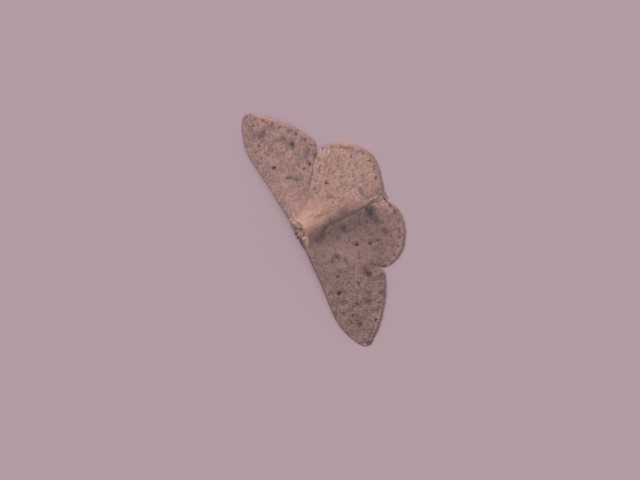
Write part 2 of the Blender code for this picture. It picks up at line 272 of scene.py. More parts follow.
def buildPattern():
    # the moth's markings: a ground colour with brown, slate, black and pale laid over it by the masks
    group, start, end = newGroup(
        "pattern",
        [("Ground", "NodeSocketColor", (1, 1, 1, 1)), ("Brown", "NodeSocketColor", (1, 1, 1, 1)),
         ("Slate", "NodeSocketColor", (1, 1, 1, 1)), ("Black", "NodeSocketColor", (1, 1, 1, 1)),
         ("Pale", "NodeSocketColor", (1, 1, 1, 1)), ("Mottle", "NodeSocketColor", (1, 1, 1, 1))],
        [("Color", "NodeSocketColor"), ("Dark", "NodeSocketFloat")],
    )
    nodes, links = group.nodes, group.links
    marks = nodes.new("ShaderNodeAttribute")
    marks.attribute_name = "marks"
    split = nodes.new("ShaderNodeSeparateColor")
    links.new(marks.outputs["Color"], split.inputs["Color"])
    tone = nodes.new("ShaderNodeAttribute")
    tone.attribute_name = "tone"
    colour = start.outputs["Ground"]
    masks = {"Pale": marks.outputs["Alpha"], "Brown": split.outputs["Blue"],
             "Slate": split.outputs["Green"], "Black": split.outputs["Red"]}
    for label, mask in masks.items():
        laid = nodes.new("ShaderNodeMix")
        laid.data_type = "RGBA"
        links.new(mask, laid.inputs["Factor"])
        links.new(colour, laid.inputs["A"])
        links.new(start.outputs[label], laid.inputs["B"])
        colour = laid.outputs["Result"]
    for shade in (tone.outputs["Fac"], start.outputs["Mottle"]):
        shaded = nodes.new("ShaderNodeMix")
        shaded.data_type = "RGBA"
        shaded.blend_type = "MULTIPLY"
        shaded.inputs["Factor"].default_value = 1.0
        links.new(colour, shaded.inputs["A"])
        links.new(shade, shaded.inputs["B"])
        colour = shaded.outputs["Result"]
    links.new(colour, end.inputs["Color"])
    links.new(split.outputs["Red"], end.inputs["Dark"])
    return group


mottleGroup = buildMottle()
patternGroup = buildPattern()

palette = {
    "ground": (0.540, 0.345, 0.325),
    "brown": (0.235, 0.135, 0.110),
    "slate": (0.180, 0.155, 0.172),
    "black": (0.020, 0.014, 0.015),
    "pale": (0.770, 0.495, 0.440),
}


finishSet = {
    # roughness and sheen, how strong the broad patches and the fine grains are, then the size of the
    # grains and the height of the bumps, in mm
    "wingSkin": (0.62, 0.10, 0.20, 0.30, 0.07, 0.012),
    "wingScales": (0.62, 0.15, 0.20, 0.12, 0.05, 0.0),
    "fringe": (0.60, 0.20, 0.15, 0.10, 0.05, 0.0),
    "bodySkin": (0.75, 0.10, 0.20, 0.25, 0.05, 0.010),
    "bodyFur": (0.70, 0.25, 0.12, 0.10, 0.05, 0.0),
    "horn": (0.45, 0.0, 0.25, 0.25, 0.04, 0.004),
}


def patternMaterial(name, colours):
    roughness, sheen, patchAmount, grainAmount, grainSize, bumpHeight = finishSet[name]
    made, nodes, links, shader = newMaterial(name)
    mottle = nodes.new("ShaderNodeGroup")
    mottle.node_tree = mottleGroup
    mottle.inputs["Patch Amount"].default_value = patchAmount
    mottle.inputs["Grain Amount"].default_value = grainAmount
    mottle.inputs["Grain Size mm"].default_value = grainSize
    pattern = nodes.new("ShaderNodeGroup")
    pattern.node_tree = patternGroup
    for label in ("Ground", "Brown", "Slate", "Black", "Pale"):
        pattern.inputs[label].default_value = (*colours[label.lower()], 1)
    links.new(mottle.outputs["Tone"], pattern.inputs["Mottle"])
    links.new(pattern.outputs["Color"], shader.inputs["Base Color"])
    shader.inputs["Roughness"].default_value = roughness
    shader.inputs["Sheen Weight"].default_value = sheen
    shader.inputs["Sheen Roughness"].default_value = 0.4
    shader.inputs["Specular IOR Level"].default_value = 0.25
    if bumpHeight:
        bump = nodes.new("ShaderNodeBump")
        bump.inputs["Strength"].default_value = 0.6
        bump.inputs["Distance"].default_value = bumpHeight * mm
        links.new(mottle.outputs["Height"], bump.inputs["Height"])
        links.new(bump.outputs["Normal"], shader.inputs["Normal"])
    return made


skinFinish = patternMaterial("wingSkin", palette)
scaleFinish = patternMaterial("wingScales", palette)
furPalette = {**palette, "ground": (0.600, 0.385, 0.345), "pale": (0.850, 0.565, 0.485)}
furFinish = patternMaterial("bodyFur", furPalette)
print("materials made")


# Vanes: thin closed forms set in a joined mesh, which stand for scales, hairs and locks

vaneForms = {
    # (along, across, up) of each point, the faces, then painted shading: how light each point is
    "scale": (
        [(0, 0, 0), (0.45, -0.48, 0), (0.94, -0.36, 0), (1, 0, 0), (0.94, 0.36, 0), (0.45, 0.48, 0),
         (0.55, 0, 1)],
        [(0, 1, 6), (1, 2, 6), (2, 3, 6), (3, 4, 6), (4, 5, 6), (5, 0, 6),
         (0, 2, 1), (0, 3, 2), (0, 4, 3), (0, 5, 4)],
        (0.78, 0.90, 0.98, 1.02, 0.98, 0.90, 1.06),
    ),
    "strap": (
        [(0, -0.25, 0), (0, 0.25, 0), (0.55, -0.5, 0), (0.55, 0.5, 0), (1, -0.2, 0), (1, 0.2, 0),
         (0.05, 0, 0.6), (0.6, 0, 1)],
        [(0, 2, 7), (0, 7, 6), (2, 4, 7), (4, 5, 7), (5, 3, 7), (3, 1, 6), (3, 6, 7), (1, 0, 6),
         (0, 1, 3), (0, 3, 2), (2, 3, 5), (2, 5, 4)],
        (0.74, 0.74, 0.90, 0.90, 1.06, 1.06, 0.80, 1.10),
    ),
    "hair": (
        [(0, -0.35, -0.3), (0, 0.35, -0.3), (0, 0, 0.5), (0.5, -0.5, -0.3), (0.5, 0.5, -0.3), (0.5, 0, 0.7),
         (1, 0, 0)],
        [(0, 2, 1), (0, 1, 4), (0, 4, 3), (1, 2, 5), (1, 5, 4), (2, 0, 3), (2, 3, 5),
         (3, 4, 6), (4, 5, 6), (5, 3, 6)],
        (0.80, 0.80, 0.84, 0.92, 0.92, 1.02, 1.10),
    ),
}


bakePatch = 0.003   # how much of the bake map one vane takes
floorRoom = 0.008   # mm that every vane keeps above the floor
hairThickness = 0.014


def layVanes(name, form, roots, lie, normals, sizes, curl, marks, tone, uv, seed, tips=None, led=None):
    # sizes holds each vane's length, width and thickness, curl its rise and its droop towards the tip, marks
    # and tips its markings at the root and at the tip, and led the middle, tip and tip normal of a led vane
    shape, faces, shade = (np.array(part) for part in vaneForms[form])
    shape = shape.astype(float)
    draw = np.random.default_rng(seed)
    count, corners = len(roots), len(shape)
    lie = unit(lie - np.sum(lie * normals, axis=1, keepdims=True) * normals)
    beside = np.cross(normals, lie)
    sway = draw.normal(0, 0.10, count)
    a, c, h = (shape[None, :, k, None] for k in range(3))
    length, width, thick = (sizes[:, None, k, None] for k in range(3))
    rise = np.asarray(curl)[:, 0][:, None, None]
    drop = np.asarray(curl)[:, 1][:, None, None]
    if led is None:
        points = roots[:, None, :] + lie[:, None, :] * (length * a)
        points = points + normals[:, None, :] * (length * (rise * a - drop * a * a) + thick * h)
        points = points + beside[:, None, :] * (width * c + length * sway[:, None, None] * a * a)
    else:
        middle, end, over = (part[:, None, :] for part in led)
        points = roots[:, None, :] * (1 - a) * (1 - 2 * a) + middle * 4 * a * (1 - a) + end * a * (2 * a - 1)
        up = unit(normals[:, None, :] * (1 - a) + over * a)
        beside = unit(np.cross(up, end - roots[:, None, :]))
        points = points + up * thick * h + beside * (width * c + length * sway[:, None, None] * a * a)
    points[..., 2] = np.maximum(points[..., 2], floorRoom)
    mesh = bpy.data.meshes.new(name)
    mesh.vertices.add(count * corners)
    mesh.vertices.foreach_set("co", points.astype(np.float32).ravel())
    loops = (faces[None] + (np.arange(count) * corners)[:, None, None]).ravel()
    mesh.loops.add(len(loops))
    mesh.loops.foreach_set("vertex_index", loops.astype(np.int32))
    mesh.polygons.add(len(loops) // 3)
    mesh.polygons.foreach_set("loop_start", np.arange(0, len(loops), 3, dtype=np.int32))
    mesh.polygons.foreach_set("use_smooth", np.ones(len(loops) // 3, bool))
    mesh.update(calc_edges=True)
    mesh.validate()
    tips = marks if tips is None else tips
    share = a[..., 0][..., None]
    setAttribute(mesh, "marks", "FLOAT_COLOR", marks[:, None] * (1 - share) + tips[:, None] * share)
    # each vane's tone, times the painted shading of its form
    setAttribute(mesh, "tone", "FLOAT", tone[:, None] * shade)
    spread = np.stack([shape[:, 0] - 0.5, shape[:, 1]], axis=1) * bakePatch
    layer = mesh.uv_layers.new(name="OFBake")
    spots = (uv[:, None, :] * (1 - 2 * bakePatch) + bakePatch + spread[None]).reshape(-1, 2)
    layer.data.foreach_set("uv", spots[loops].astype(np.float32).ravel())
    made = bpy.data.objects.new(name, mesh)
    bpy.context.scene.collection.objects.link(made)
    print(name, count)
    return made


# The body's measures

bodySet = {
    "coatDepth": 0.14,       # mm, how far the skin lies inside the solids, for the coat
    "voxel": 0.045, "smoothing": 16,
    "thorax": ((0.0, 1.74, 1.62), (1.06, 1.34, 0.97)),
    "collar": ((0.0, 0.94, 1.72), (1.12, 0.50, 0.62)),
    "shoulder": ((0.84, 1.46, 1.84), (0.46, 0.74, 0.36)), "shoulderTilt": 18,
    "head": ((0.0, 0.24, 1.42), (0.56, 0.42, 0.46)),
    "neck": ((0.0, 0.56, 1.44), (0.42, 0.34, 0.40)),
    "eye": ((0.46, 0.14, 1.40), (0.28, 0.28, 0.30)),
    "blend": 90,             # further smoothing where the shoulders and the thorax run together
}
abdomenSet = {
    "front": 2.55, "tip": 8.30, "radius": 0.60, "tipRadius": 0.16, "height": 1.74,
    "droop": 0.66, "droopPower": 2.6,        # how far the tip sinks, and how late
    "taperStart": 2.2, "taperPower": 0.7,    # how late the abdomen tapers, and how blunt it ends
    "bend": 0.34,                            # how far the tip leans to the moth's left
    "rings": 7, "ringOverlap": 1.02, "coatDepth": 0.09,
}


def abdomenAt(share):  # middle line and radius
    s = abdomenSet
    lean = s["bend"] * ease(share)
    height = s["height"] - s["droop"] * share ** s["droopPower"]
    fullness = (1 - min(share, 1) ** s["taperStart"]) ** s["taperPower"]
    radius = s["tipRadius"] + (s["radius"] - s["tipRadius"]) * fullness
    return np.array([lean, s["front"] + (s["tip"] - s["front"]) * share, height]), radius


abdomenRows = np.array([(*abdomenAt(share)[0], abdomenAt(share)[1]) for share in np.linspace(0, 1, 60)])


# Wings

forewingFront = [
    (0.55, 0.70), (1.50, 0.12), (2.90, -0.10), (5.15, -0.25), (7.50, -0.52), (8.90, -0.65),
    (10.20, -0.58), (11.40, -0.24), (12.45, 0.24),
]
forewingEdge = [
    (12.98, 0.90), (12.62, 2.25), (11.50, 3.50), (10.10, 4.67), (8.90, 5.42), (7.90, 5.86),
    (7.15, 5.92), (5.90, 5.02), (4.10, 3.62), (2.80, 2.58), (1.60, 2.20), (0.55, 2.05),
]
hindwingFront = [(0.60, 2.16), (1.80, 2.18), (3.30, 2.66), (4.80, 3.78), (6.00, 4.94)]
rightHindwingEdge = [
    (6.58, 6.10), (6.62, 7.40), (6.00, 8.80), (4.90, 9.86), (3.70, 10.46), (2.40, 10.54),
    (1.00, 10.20), (-0.30, 9.82), (-1.06, 9.62), (-0.66, 8.90), (-0.45, 8.00), (-0.36, 6.90),
    (-0.05, 5.90), (0.40, 4.70), (0.62, 3.60), (0.60, 2.80),
]
leftHindwingEdge = [
    (6.94, 6.20), (7.02, 7.40), (6.36, 8.68), (5.10, 9.66), (3.80, 10.16), (2.70, 10.26),
    (1.84, 10.02), (1.34, 9.60), (0.94, 8.90), (0.74, 8.00), (0.66, 6.90), (0.60, 5.90),
    (0.56, 4.70), (0.62, 3.60), (0.62, 2.80),
]

forewingVeins = {
    "subcosta": [(1.60, 0.46), (3.60, 0.18), (6.00, -0.06), (8.20, -0.36)],
    "radius": [(1.60, 1.02), (3.80, 0.84), (6.30, 0.62), (8.40, 0.28), (10.20, -0.24)],
    "cubitus1": [(1.60, 1.36), (3.60, 1.66), (6.10, 2.10), (8.40, 3.10), (10.64, 4.04)],
    "cellEnd": [(6.30, 0.62), (6.62, 1.00), (6.58, 1.50), (6.10, 2.10)],
    "radius4": [(7.40, 0.46), (9.00, 0.36), (10.50, 0.04), (11.50, -0.04)],
    "radius5": [(8.20, 0.44), (9.60, 0.64), (11.20, 0.82), (12.64, 1.10)],
    "media1": [(6.62, 1.00), (9.20, 1.36), (12.36, 2.12)],
    "media2": [(6.58, 1.50), (9.00, 2.20), (11.54, 3.12)],
    "cubitus2": [(6.10, 2.10), (8.00, 3.62), (9.50, 4.78)],
    "cubitus3": [(4.50, 1.82), (6.60, 3.60), (8.40, 5.34)],
    "anal": [(1.90, 1.76), (3.70, 2.74), (5.60, 4.12), (7.20, 5.52)],
}
hindwingVeins = {
    "radius": [(1.50, 2.70), (2.60, 3.50), (3.70, 4.40), (5.10, 5.80), (6.30, 7.10)],
    "cubitus1": [(1.40, 3.00), (2.15, 4.05), (2.85, 5.20), (3.25, 7.60), (3.45, 9.90)],
    "cellEnd": [(3.70, 4.40), (3.52, 4.84), (2.85, 5.20)],
    "media1": [(3.70, 4.40), (4.70, 6.30), (5.75, 8.50)],
    "media3": [(3.00, 6.00), (3.80, 7.60), (4.75, 9.46)],
    "cubitus2": [(2.45, 4.55), (2.40, 7.00), (2.25, 9.80)],
    "anal": [(1.30, 3.40), (1.24, 5.20), (1.28, 7.40), (1.58, 9.40)],
}

# Markings as (outward, backward, half length, half width, turn, strength)
markings = {
    "forewing_right": {
        "black": [(6.90, 1.00, 0.13, 0.19, 15, 0.95), (5.42, 1.69, 0.13, 0.18, 30, 0.75),
                  (5.25, 1.95, 0.10, 0.16, 30, 0.6), (9.58, 0.65, 0.10, 0.09, 0, 0.8),
                  (8.45, 1.58, 0.12, 0.08, 0, 0.8), (5.67, 4.27, 0.16, 0.12, 20, 0.8),
                  (8.18, 3.64, 0.20, 0.13, 10, 0.7)],
        "slate": [(8.18, 3.62, 0.48, 0.34, 15, 0.95), (10.35, 1.35, 0.56, 0.32, 60, 0.85),
                  (10.75, 0.90, 0.26, 0.44, 0, 0.5), (5.00, 2.25, 0.24, 0.48, 35, 0.8),
                  (6.64, 4.45, 0.56, 0.32, 40, 0.8), (9.05, 2.95, 0.34, 0.22, 30, 0.7),
                  (4.60, 2.85, 0.16, 0.30, 40, 0.3)],
        "brown": [(9.09, 3.18, 0.30, 0.26, 0, 0.8), (9.35, 1.27, 0.24, 0.07, 0, 0.7),
                  (8.40, 1.00, 0.10, 0.09, 0, 0.8), (7.95, 2.91, 0.26, 0.07, 0, 0.8),
                  (6.64, 3.27, 0.22, 0.06, 0, 0.8), (7.10, 1.90, 0.20, 0.10, 0, 0.6),
                  (4.36, 1.27, 0.09, 0.09, 0, 0.7), (3.55, 2.55, 0.20, 0.13, 40, 0.7),
                  (3.10, 2.90, 0.12, 0.09, 0, 0.6), (5.27, 4.64, 0.14, 0.10, 0, 0.6),
                  (6.20, -0.05, 0.16, 0.12, 0, 0.7), (6.15, 1.55, 0.16, 0.30, 20, 0.35),
                  (9.50, 4.25, 0.16, 0.14, 0, 0.4), (7.50, 4.90, 0.30, 0.16, 20, 0.45)],
    },
    "forewing_left": {
        "black": [(6.90, 0.82, 0.14, 0.18, 10, 0.95), (5.36, 1.48, 0.13, 0.20, 20, 0.7),
                  (10.64, 1.18, 0.18, 0.16, 0, 0.4), (6.60, 4.28, 0.22, 0.16, 10, 0.45),
                  (8.60, 1.90, 0.14, 0.12, 0, 0.8), (8.60, 1.42, 0.10, 0.08, 0, 0.7),
                  (9.50, 0.95, 0.14, 0.10, 20, 0.8), (3.60, 2.30, 0.16, 0.09, 10, 0.6),
                  (7.00, 3.02, 0.12, 0.09, 0, 0.7)],
        "slate": [(10.60, 1.18, 0.42, 0.30, 10, 0.85), (9.00, 2.95, 0.42, 0.28, 10, 0.85),
                  (8.27, 3.42, 0.40, 0.22, 20, 0.75), (6.60, 4.28, 0.48, 0.32, 15, 0.95),
                  (5.85, 4.00, 0.26, 0.20, 0, 0.7), (3.60, 2.36, 0.36, 0.20, 10, 0.75),
                  (5.05, 1.95, 0.20, 0.26, 30, 0.6), (6.00, 5.40, 0.20, 0.20, 0, 0.5)],
        "brown": [(4.45, 2.90, 0.36, 0.20, 0, 0.7), (9.64, 0.50, 0.16, 0.12, 0, 0.6),
                  (6.60, 1.30, 0.14, 0.22, 0, 0.3), (4.40, 1.60, 0.12, 0.26, 10, 0.4),
                  (7.60, 2.30, 0.20, 0.16, 0, 0.4), (5.60, 3.20, 0.20, 0.18, 0, 0.4),
                  (10.00, 2.30, 0.20, 0.16, 0, 0.4), (3.00, 1.30, 0.12, 0.16, 0, 0.4)],
    },
    "hindwing_right": {
        "black": [(3.18, 4.82, 0.15, 0.20, 60, 1.0), (4.20, 6.55, 0.10, 0.07, 0, 0.6),
                  (3.00, 6.40, 0.12, 0.10, 0, 0.75), (1.58, 6.42, 0.12, 0.08, 0, 0.7)],
        "slate": [(0.90, 7.42, 0.52, 0.26, 10, 0.75), (0.50, 4.70, 0.30, 0.18, 30, 0.4),
                  (1.80, 7.60, 0.26, 0.16, 0, 0.3)],
        "brown": [(1.90, 4.38, 0.28, 0.22, 40, 0.65), (0.27, 6.36, 0.14, 0.10, 0, 0.7),
                  (2.70, 7.58, 0.24, 0.14, 0, 0.6), (3.60, 6.70, 0.30, 0.08, 20, 0.5),
                  (4.60, 7.20, 0.22, 0.12, 40, 0.45), (3.60, 8.30, 0.20, 0.12, 0, 0.45),
                  (2.30, 5.70, 0.16, 0.10, 0, 0.4), (1.20, 5.60, 0.14, 0.10, 0, 0.5),
                  (5.20, 6.90, 0.14, 0.12, 0, 0.4), (1.30, 8.05, 0.24, 0.10, 0, 0.4)],
    },
    "hindwing_left": {
        "black": [(3.50, 4.60, 0.16, 0.15, 30, 1.0), (1.36, 4.20, 0.22, 0.10, 40, 0.2),
                  (6.18, 7.48, 0.12, 0.13, 0, 0.8), (1.36, 7.20, 0.22, 0.14, 0, 0.25)],
        "slate": [(1.50, 4.10, 0.62, 0.26, 25, 0.55), (1.36, 7.20, 0.56, 0.36, 5, 0.80),
                  (2.45, 7.45, 0.34, 0.24, 10, 0.7), (3.60, 7.70, 0.40, 0.26, 20, 0.8),
                  (3.90, 8.10, 0.22, 0.18, 0, 0.5)],
        "brown": [(4.20, 6.85, 0.20, 0.12, 0, 0.7), (5.45, 6.45, 0.16, 0.20, 0, 0.7),
                  (6.00, 5.50, 0.14, 0.16, 0, 0.7), (2.60, 6.10, 0.20, 0.10, 0, 0.5),
                  (3.30, 6.30, 0.16, 0.10, 0, 0.5), (1.60, 5.90, 0.14, 0.10, 0, 0.5),
                  (4.90, 7.40, 0.18, 0.12, 0, 0.5), (2.10, 5.10, 0.14, 0.12, 0, 0.4)],
    },
}

wingSet = {
    "forewing": {
        "front": forewingFront, "edges": {"left": forewingEdge, "right": forewingEdge},
        "tornus": {"left": 6, "right": 6},   # which point of the edge is the rear corner
        "veins": forewingVeins,
        "grid": (170, 66), "rows": 122, "underRows": 66,   # of the skin, and of scales above and below
        # the solid's underside: where it is highest, how far out it is lowest, and how it sinks between
        "slope": {"root": (1.0, 0.0), "reach": 12.0, "low": 0.10, "rise": 1.70, "power": 1.35},
        # how far the skin's upper face lies above that underside: at the root, the middle and the outer
        # edge, then along the front and the rear edge, and how much of the wing these two take
        "lift": (0.00, 0.34, 0.20), "frontLift": 0.22, "rearLift": {"left": -0.15, "right": -0.15},
        "frontShare": 0.30, "rearShare": 0.62,
        # mm that the skin stops short of its rear outline (or, below zero, passes it), and that it runs on
        # in front, under the forewing, and behind, under the abdomen
        "rearCut": {"left": 0.18, "right": 0.18}, "tuck": 0.0, "rearTuck": 0.0,
        # the fringe along the rear edge: its length, how far its tips sink and the share of the edge where it
        # starts, then how much is cut from it at the corner and how much of it is left at the apex
        "rearFringe": 0.40, "rearDrop": 0.02, "rearFrom": 0.0, "cornerTrim": 0.15, "apexFringe": 0.30,
        "terminalDots": 9, "speckles": 420, "speckleSize": (0.035, 0.080),
        # tone: each side's lightness; the lit right forewing is darker as painted shade, the left lighter as
        # painted light
        "seed": {"left": 1, "right": 2}, "tone": {"left": 1.02, "right": 0.92},
        # place, half width and strength of the bands across the wing
        "bands": [(0.32, 0.014, 0.22), (0.52, 0.040, 0.20), (0.70, 0.014, 0.26), (0.80, 0.045, 0.24)],
        "brown": 0.48, "slate": 0.34, "cloudFrom": 0.25,       # strength of the clouds and where they start
        "pale": {"left": (0.74, 0.50), "right": (0.0, 0.0)},   # near the root and further out; only on the shaded left forewing, where it is partly its own pale base and partly painted light
    },
    "hindwing": {
        "front": hindwingFront, "edges": {"left": leftHindwingEdge, "right": rightHindwingEdge},
        "tornus": {"left": 7, "right": 8},
        "veins": hindwingVeins,
        "grid": (120, 100), "rows": 96, "underRows": 52,
        "slope": {"root": (0.95, 2.30), "reach": 7.6, "low": 0.06, "rise": 0.89, "power": 1.6},
        "lift": (0.62, 0.36, 0.08), "frontLift": 0.735, "rearLift": {"left": 0.42, "right": 0.54},
        "frontShare": 0.42, "rearShare": 0.50,
        "rearCut": {"left": -0.30, "right": -0.14}, "tuck": 0.32, "rearTuck": 0.60,
        "rearFringe": 0.32, "rearDrop": 0.10, "rearFrom": 0.68, "cornerTrim": 0.80, "apexFringe": 0.62,
        "terminalDots": 9, "speckles": 430, "speckleSize": (0.045, 0.095),
        # tone: each side's lightness; the shaded left hindwing is lighter as painted light
        "seed": {"left": 3, "right": 4}, "tone": {"left": 1.06, "right": 1.00},
        "bands": [(0.40, 0.035, 0.18), (0.64, 0.014, 0.26), (0.76, 0.045, 0.28)],
        "brown": 0.36, "slate": 0.26, "cloudFrom": 0.35,
        # pale near the root and further out, set apart by side as painted light and shade: the lit right wing
        # is lighter further out
        "pale": {"left": (0.60, 0.32), "right": (0.46, 0.90)},
        # beside the abdomen: painted shade, how much duller it is made (or, below zero, painted light, how
        # much lighter), and over what width
        "beside": {"left": (-1.15, 1.9), "right": (0.30, 1.0)},
        # where it rises to the abdomen: over what width, and how far below the abdomen's middle
        "fold": {"left": (2.1, 0.18), "right": (1.8, 0.26)},
    },
}
wingForm = {
    "membrane": 0.07,        # mm, thickness of the skin
    "veinRise": 0.006, "veinHalfWidth": 0.07,
    "unevenRise": 0.014, "unevenSize": 1.6,
    "fringe": 0.66, "apexShare": 0.20,   # length of the fringe, and how much of the edge its start takes
    "tuckChord": 4.0,        # the chord that the tuck in front is set against
    "dotInset": 0.20,        # how far inside the skin's edge the terminal dots lie
    "dotSpread": 0.94, "dotStray": 0.12,   # how much of the edge they take, and how unevenly
    "dotLength": (0.11, 0.17), "dotWidth": (0.09, 0.12), "dotStrength": (0.60, 0.90),
    "blackSpeckles": 0.12, "speckleStrength": (0.25, 0.75),
    "spotStrength": 0.88, "wobble": 0.07, "wobbleSize": 0.40,   # of the outlines of all spots
}


class Wing:
    # the shape of one wing, on the left side, as a sheet with u from root to edge and v from front to rear
    def __init__(self, kind, word):
        spec = wingSet[kind]
        edge = spec["edges"][word]
        self.kind, self.word, self.spec = kind, word, spec
        self.seed = 10 * spec["seed"][word]
        self.loop = smoothRow([*spec["front"], *edge, spec["front"][0]], 0.04)

        def nearest(p):
            return int(np.argmin(np.linalg.norm(self.loop - np.array(p), axis=1)))

        apex, corner, back = nearest(edge[0]), nearest(edge[spec["tornus"][word]]), nearest(edge[-1])
        self.front = self.loop[:apex + 1]
        self.outer = self.loop[apex:corner + 1]
        self.rear = self.loop[corner:back + 1][::-1]
        self.root = self.loop[back:][::-1]
        self.chord = 0   # flat reads it, and doesn't use it inside the outline
        self.chord = np.linalg.norm(np.diff(self.flat([0.5, 0.5], [0.0, 1.0]), axis=0))
        self.veins = [smoothRow(points, 0.10) for points in spec["veins"].values()]
        self.spots = self.placeSpots(f"{kind}_{word}")

    def flat(self, u, v):
        u, v = (np.asarray(t, float)[:, None] for t in (u, v))
        past, v = np.maximum(v - 1, 0), np.minimum(v, 1)   # past the rear edge, straight towards the body
        f0, f1, r0, r1 = self.front[0], self.front[-1], self.rear[0], self.rear[-1]
        p = (1 - v) * along(self.front, u[:, 0]) + v * along(self.rear, u[:, 0])
        p += (1 - u) * along(self.root, v[:, 0]) + u * along(self.outer, v[:, 0])
        p = p - (1 - u) * (1 - v) * f0 - u * (1 - v) * f1 - (1 - u) * v * r0 - u * v * r1
        return p - past * [self.chord, 0]

    def height(self, p):  # the solid's underside over flat points
        slope = self.spec["slope"]
        away = p[:, 0] - slope["root"][0]
        if self.kind == "hindwing":
            away = np.hypot(away, p[:, 1] - slope["root"][1])
        share = np.clip(away / slope["reach"], 0, 1)
        return slope["low"] + slope["rise"] * (1 - share) ** slope["power"]

    def raised(self, p, u, v, ridges=True):  # the skin's upper face over flat points
        u, v = np.asarray(u, float), np.asarray(v, float)
        spec = self.spec
        root, middle, edge = spec["lift"]
        lift = root + (middle - root) * ease(u / 0.4) + (edge - middle) * ease((u - 0.4) / 0.6)
        front = spec["frontLift"] * (1 - 0.22 * u) * (1 - 0.5 * ease((u - 0.75) / 0.25))
        lift = lift + (front - lift) * (1 - ease(v / spec["frontShare"]))
        rear = spec["rearLift"][self.word]
        rear = rear + (min(rear, edge) - rear) * ease((u - 0.6) / 0.4)
        lift = lift + (rear - lift) * ease((v - 1) / spec["rearShare"] + 1)
        z = self.height(p) + lift + wingForm["unevenRise"] * ripple(p, wingForm["unevenSize"], 5)
        if self.kind == "hindwing":   # its inner part rises to the side of the abdomen
            lean, high, radius = (np.interp(p[:, 1], abdomenRows[:, 1], abdomenRows[:, k]) for k in (0, 2, 3))
            off = abs(p[:, 0] * sides[self.word] - lean)
            width, below = spec["fold"][self.word]
            fold = (1 - ease((off - 0.5 * radius) / width)) * ease((p[:, 1] - 2.7) / 0.6)
            fold = fold * (1 - ease((p[:, 1] - 7.4) / 0.9))
            z = z + fold * np.maximum(0, high - below - z)
        if ridges:
            near = np.min([distanceTo(row, p) for row in self.veins], axis=0)
            z += wingForm["veinRise"] * np.exp(-(near / wingForm["veinHalfWidth"]) ** 2)
        return np.column_stack([p, z])

    def span(self, v):  # from the root to the outer edge
        v = np.asarray(v, float)
        return np.linalg.norm(self.flat(np.ones_like(v), v) - self.flat(np.zeros_like(v), v), axis=1)

    def fringeAt(self, v):  # length of the fringe, shorter at the apex
        apex = self.spec["apexFringe"]
        return wingForm["fringe"] * (apex + (1 - apex) * ease(np.asarray(v, float) / wingForm["apexShare"]))

    def reach(self, v):  # how far out the skin goes before the fringe takes over
        return 1 - self.fringeAt(v) / self.span(v)

    def startOf(self, u):  # where the skin starts at the front, tucked under the wing before it
        return 0.006 - self.spec["tuck"] / wingForm["tuckChord"] * (1 - ease((u - 0.72) / 0.14))

    def endOf(self, u):  # and where it ends at the rear, tucked under the abdomen
        past = self.spec["rearTuck"] * (1 - ease((u - 0.35) / 0.25)) - self.spec["rearCut"][self.word]
        return 1 + past / self.chord

    def placeSpots(self, name):
        # the placed markings, the dots along the edge and fine speckles
        form = wingForm
        draw = np.random.default_rng(self.seed)
        spots = {kind: list(rows) for kind, rows in markings[name].items()}
        count = self.spec["terminalDots"]
        stray = draw.uniform(-form["dotStray"], form["dotStray"], count)
        v = form["dotSpread"] * (np.arange(count) + 0.5 + stray) / count
        for p in self.flat(self.reach(v) - form["dotInset"] / self.span(v), v):
            spots["black"].append((*p, draw.uniform(*form["dotLength"]), draw.uniform(*form["dotWidth"]),
                                   draw.uniform(0, 180), draw.uniform(*form["dotStrength"])))
        count = self.spec["speckles"]
        for p in self.flat(np.sqrt(draw.uniform(0.01, 0.88, count)), draw.uniform(0.02, 0.98, count)):
            size = draw.uniform(*self.spec["speckleSize"])
            kind = "black" if draw.random() < form["blackSpeckles"] else "brown"
            spots[kind].append((*p, size * draw.uniform(1.0, 2.0), size, draw.uniform(0, 180),
                                draw.uniform(*form["speckleStrength"])))
        return {kind: np.array(rows) for kind, rows in spots.items()}

    def marksAt(self, p, u):
        # black, slate, brown and pale at many flat points
        made = self.cloudsAt(p, u)
        size = wingForm["wobbleSize"]
        q = p + wingForm["wobble"] * np.column_stack([ripple(p, size, 11), ripple(p, size, 12)])
        for column, kind in enumerate(("black", "slate", "brown")):
            for x, y, longer, shorter, turn, strength in self.spots[kind]:
                reach = 2 * longer + 0.1
                near = np.flatnonzero((abs(q[:, 0] - x) < reach) & (abs(q[:, 1] - y) < reach))
                if not len(near):
                    continue
                d = q[near] - (x, y)
                c, s = math.cos(math.radians(turn)), math.sin(math.radians(turn))
                r = np.hypot((d[:, 0] * c + d[:, 1] * s) / longer, (d[:, 1] * c - d[:, 0] * s) / shorter)
                soft = 1.0 if kind == "slate" else 0.8
                laid = wingForm["spotStrength"] * strength * ease((1.5 - r) / soft)
                made[near, column] = np.maximum(made[near, column], laid)
        return made

    def cloudsAt(self, p, u):
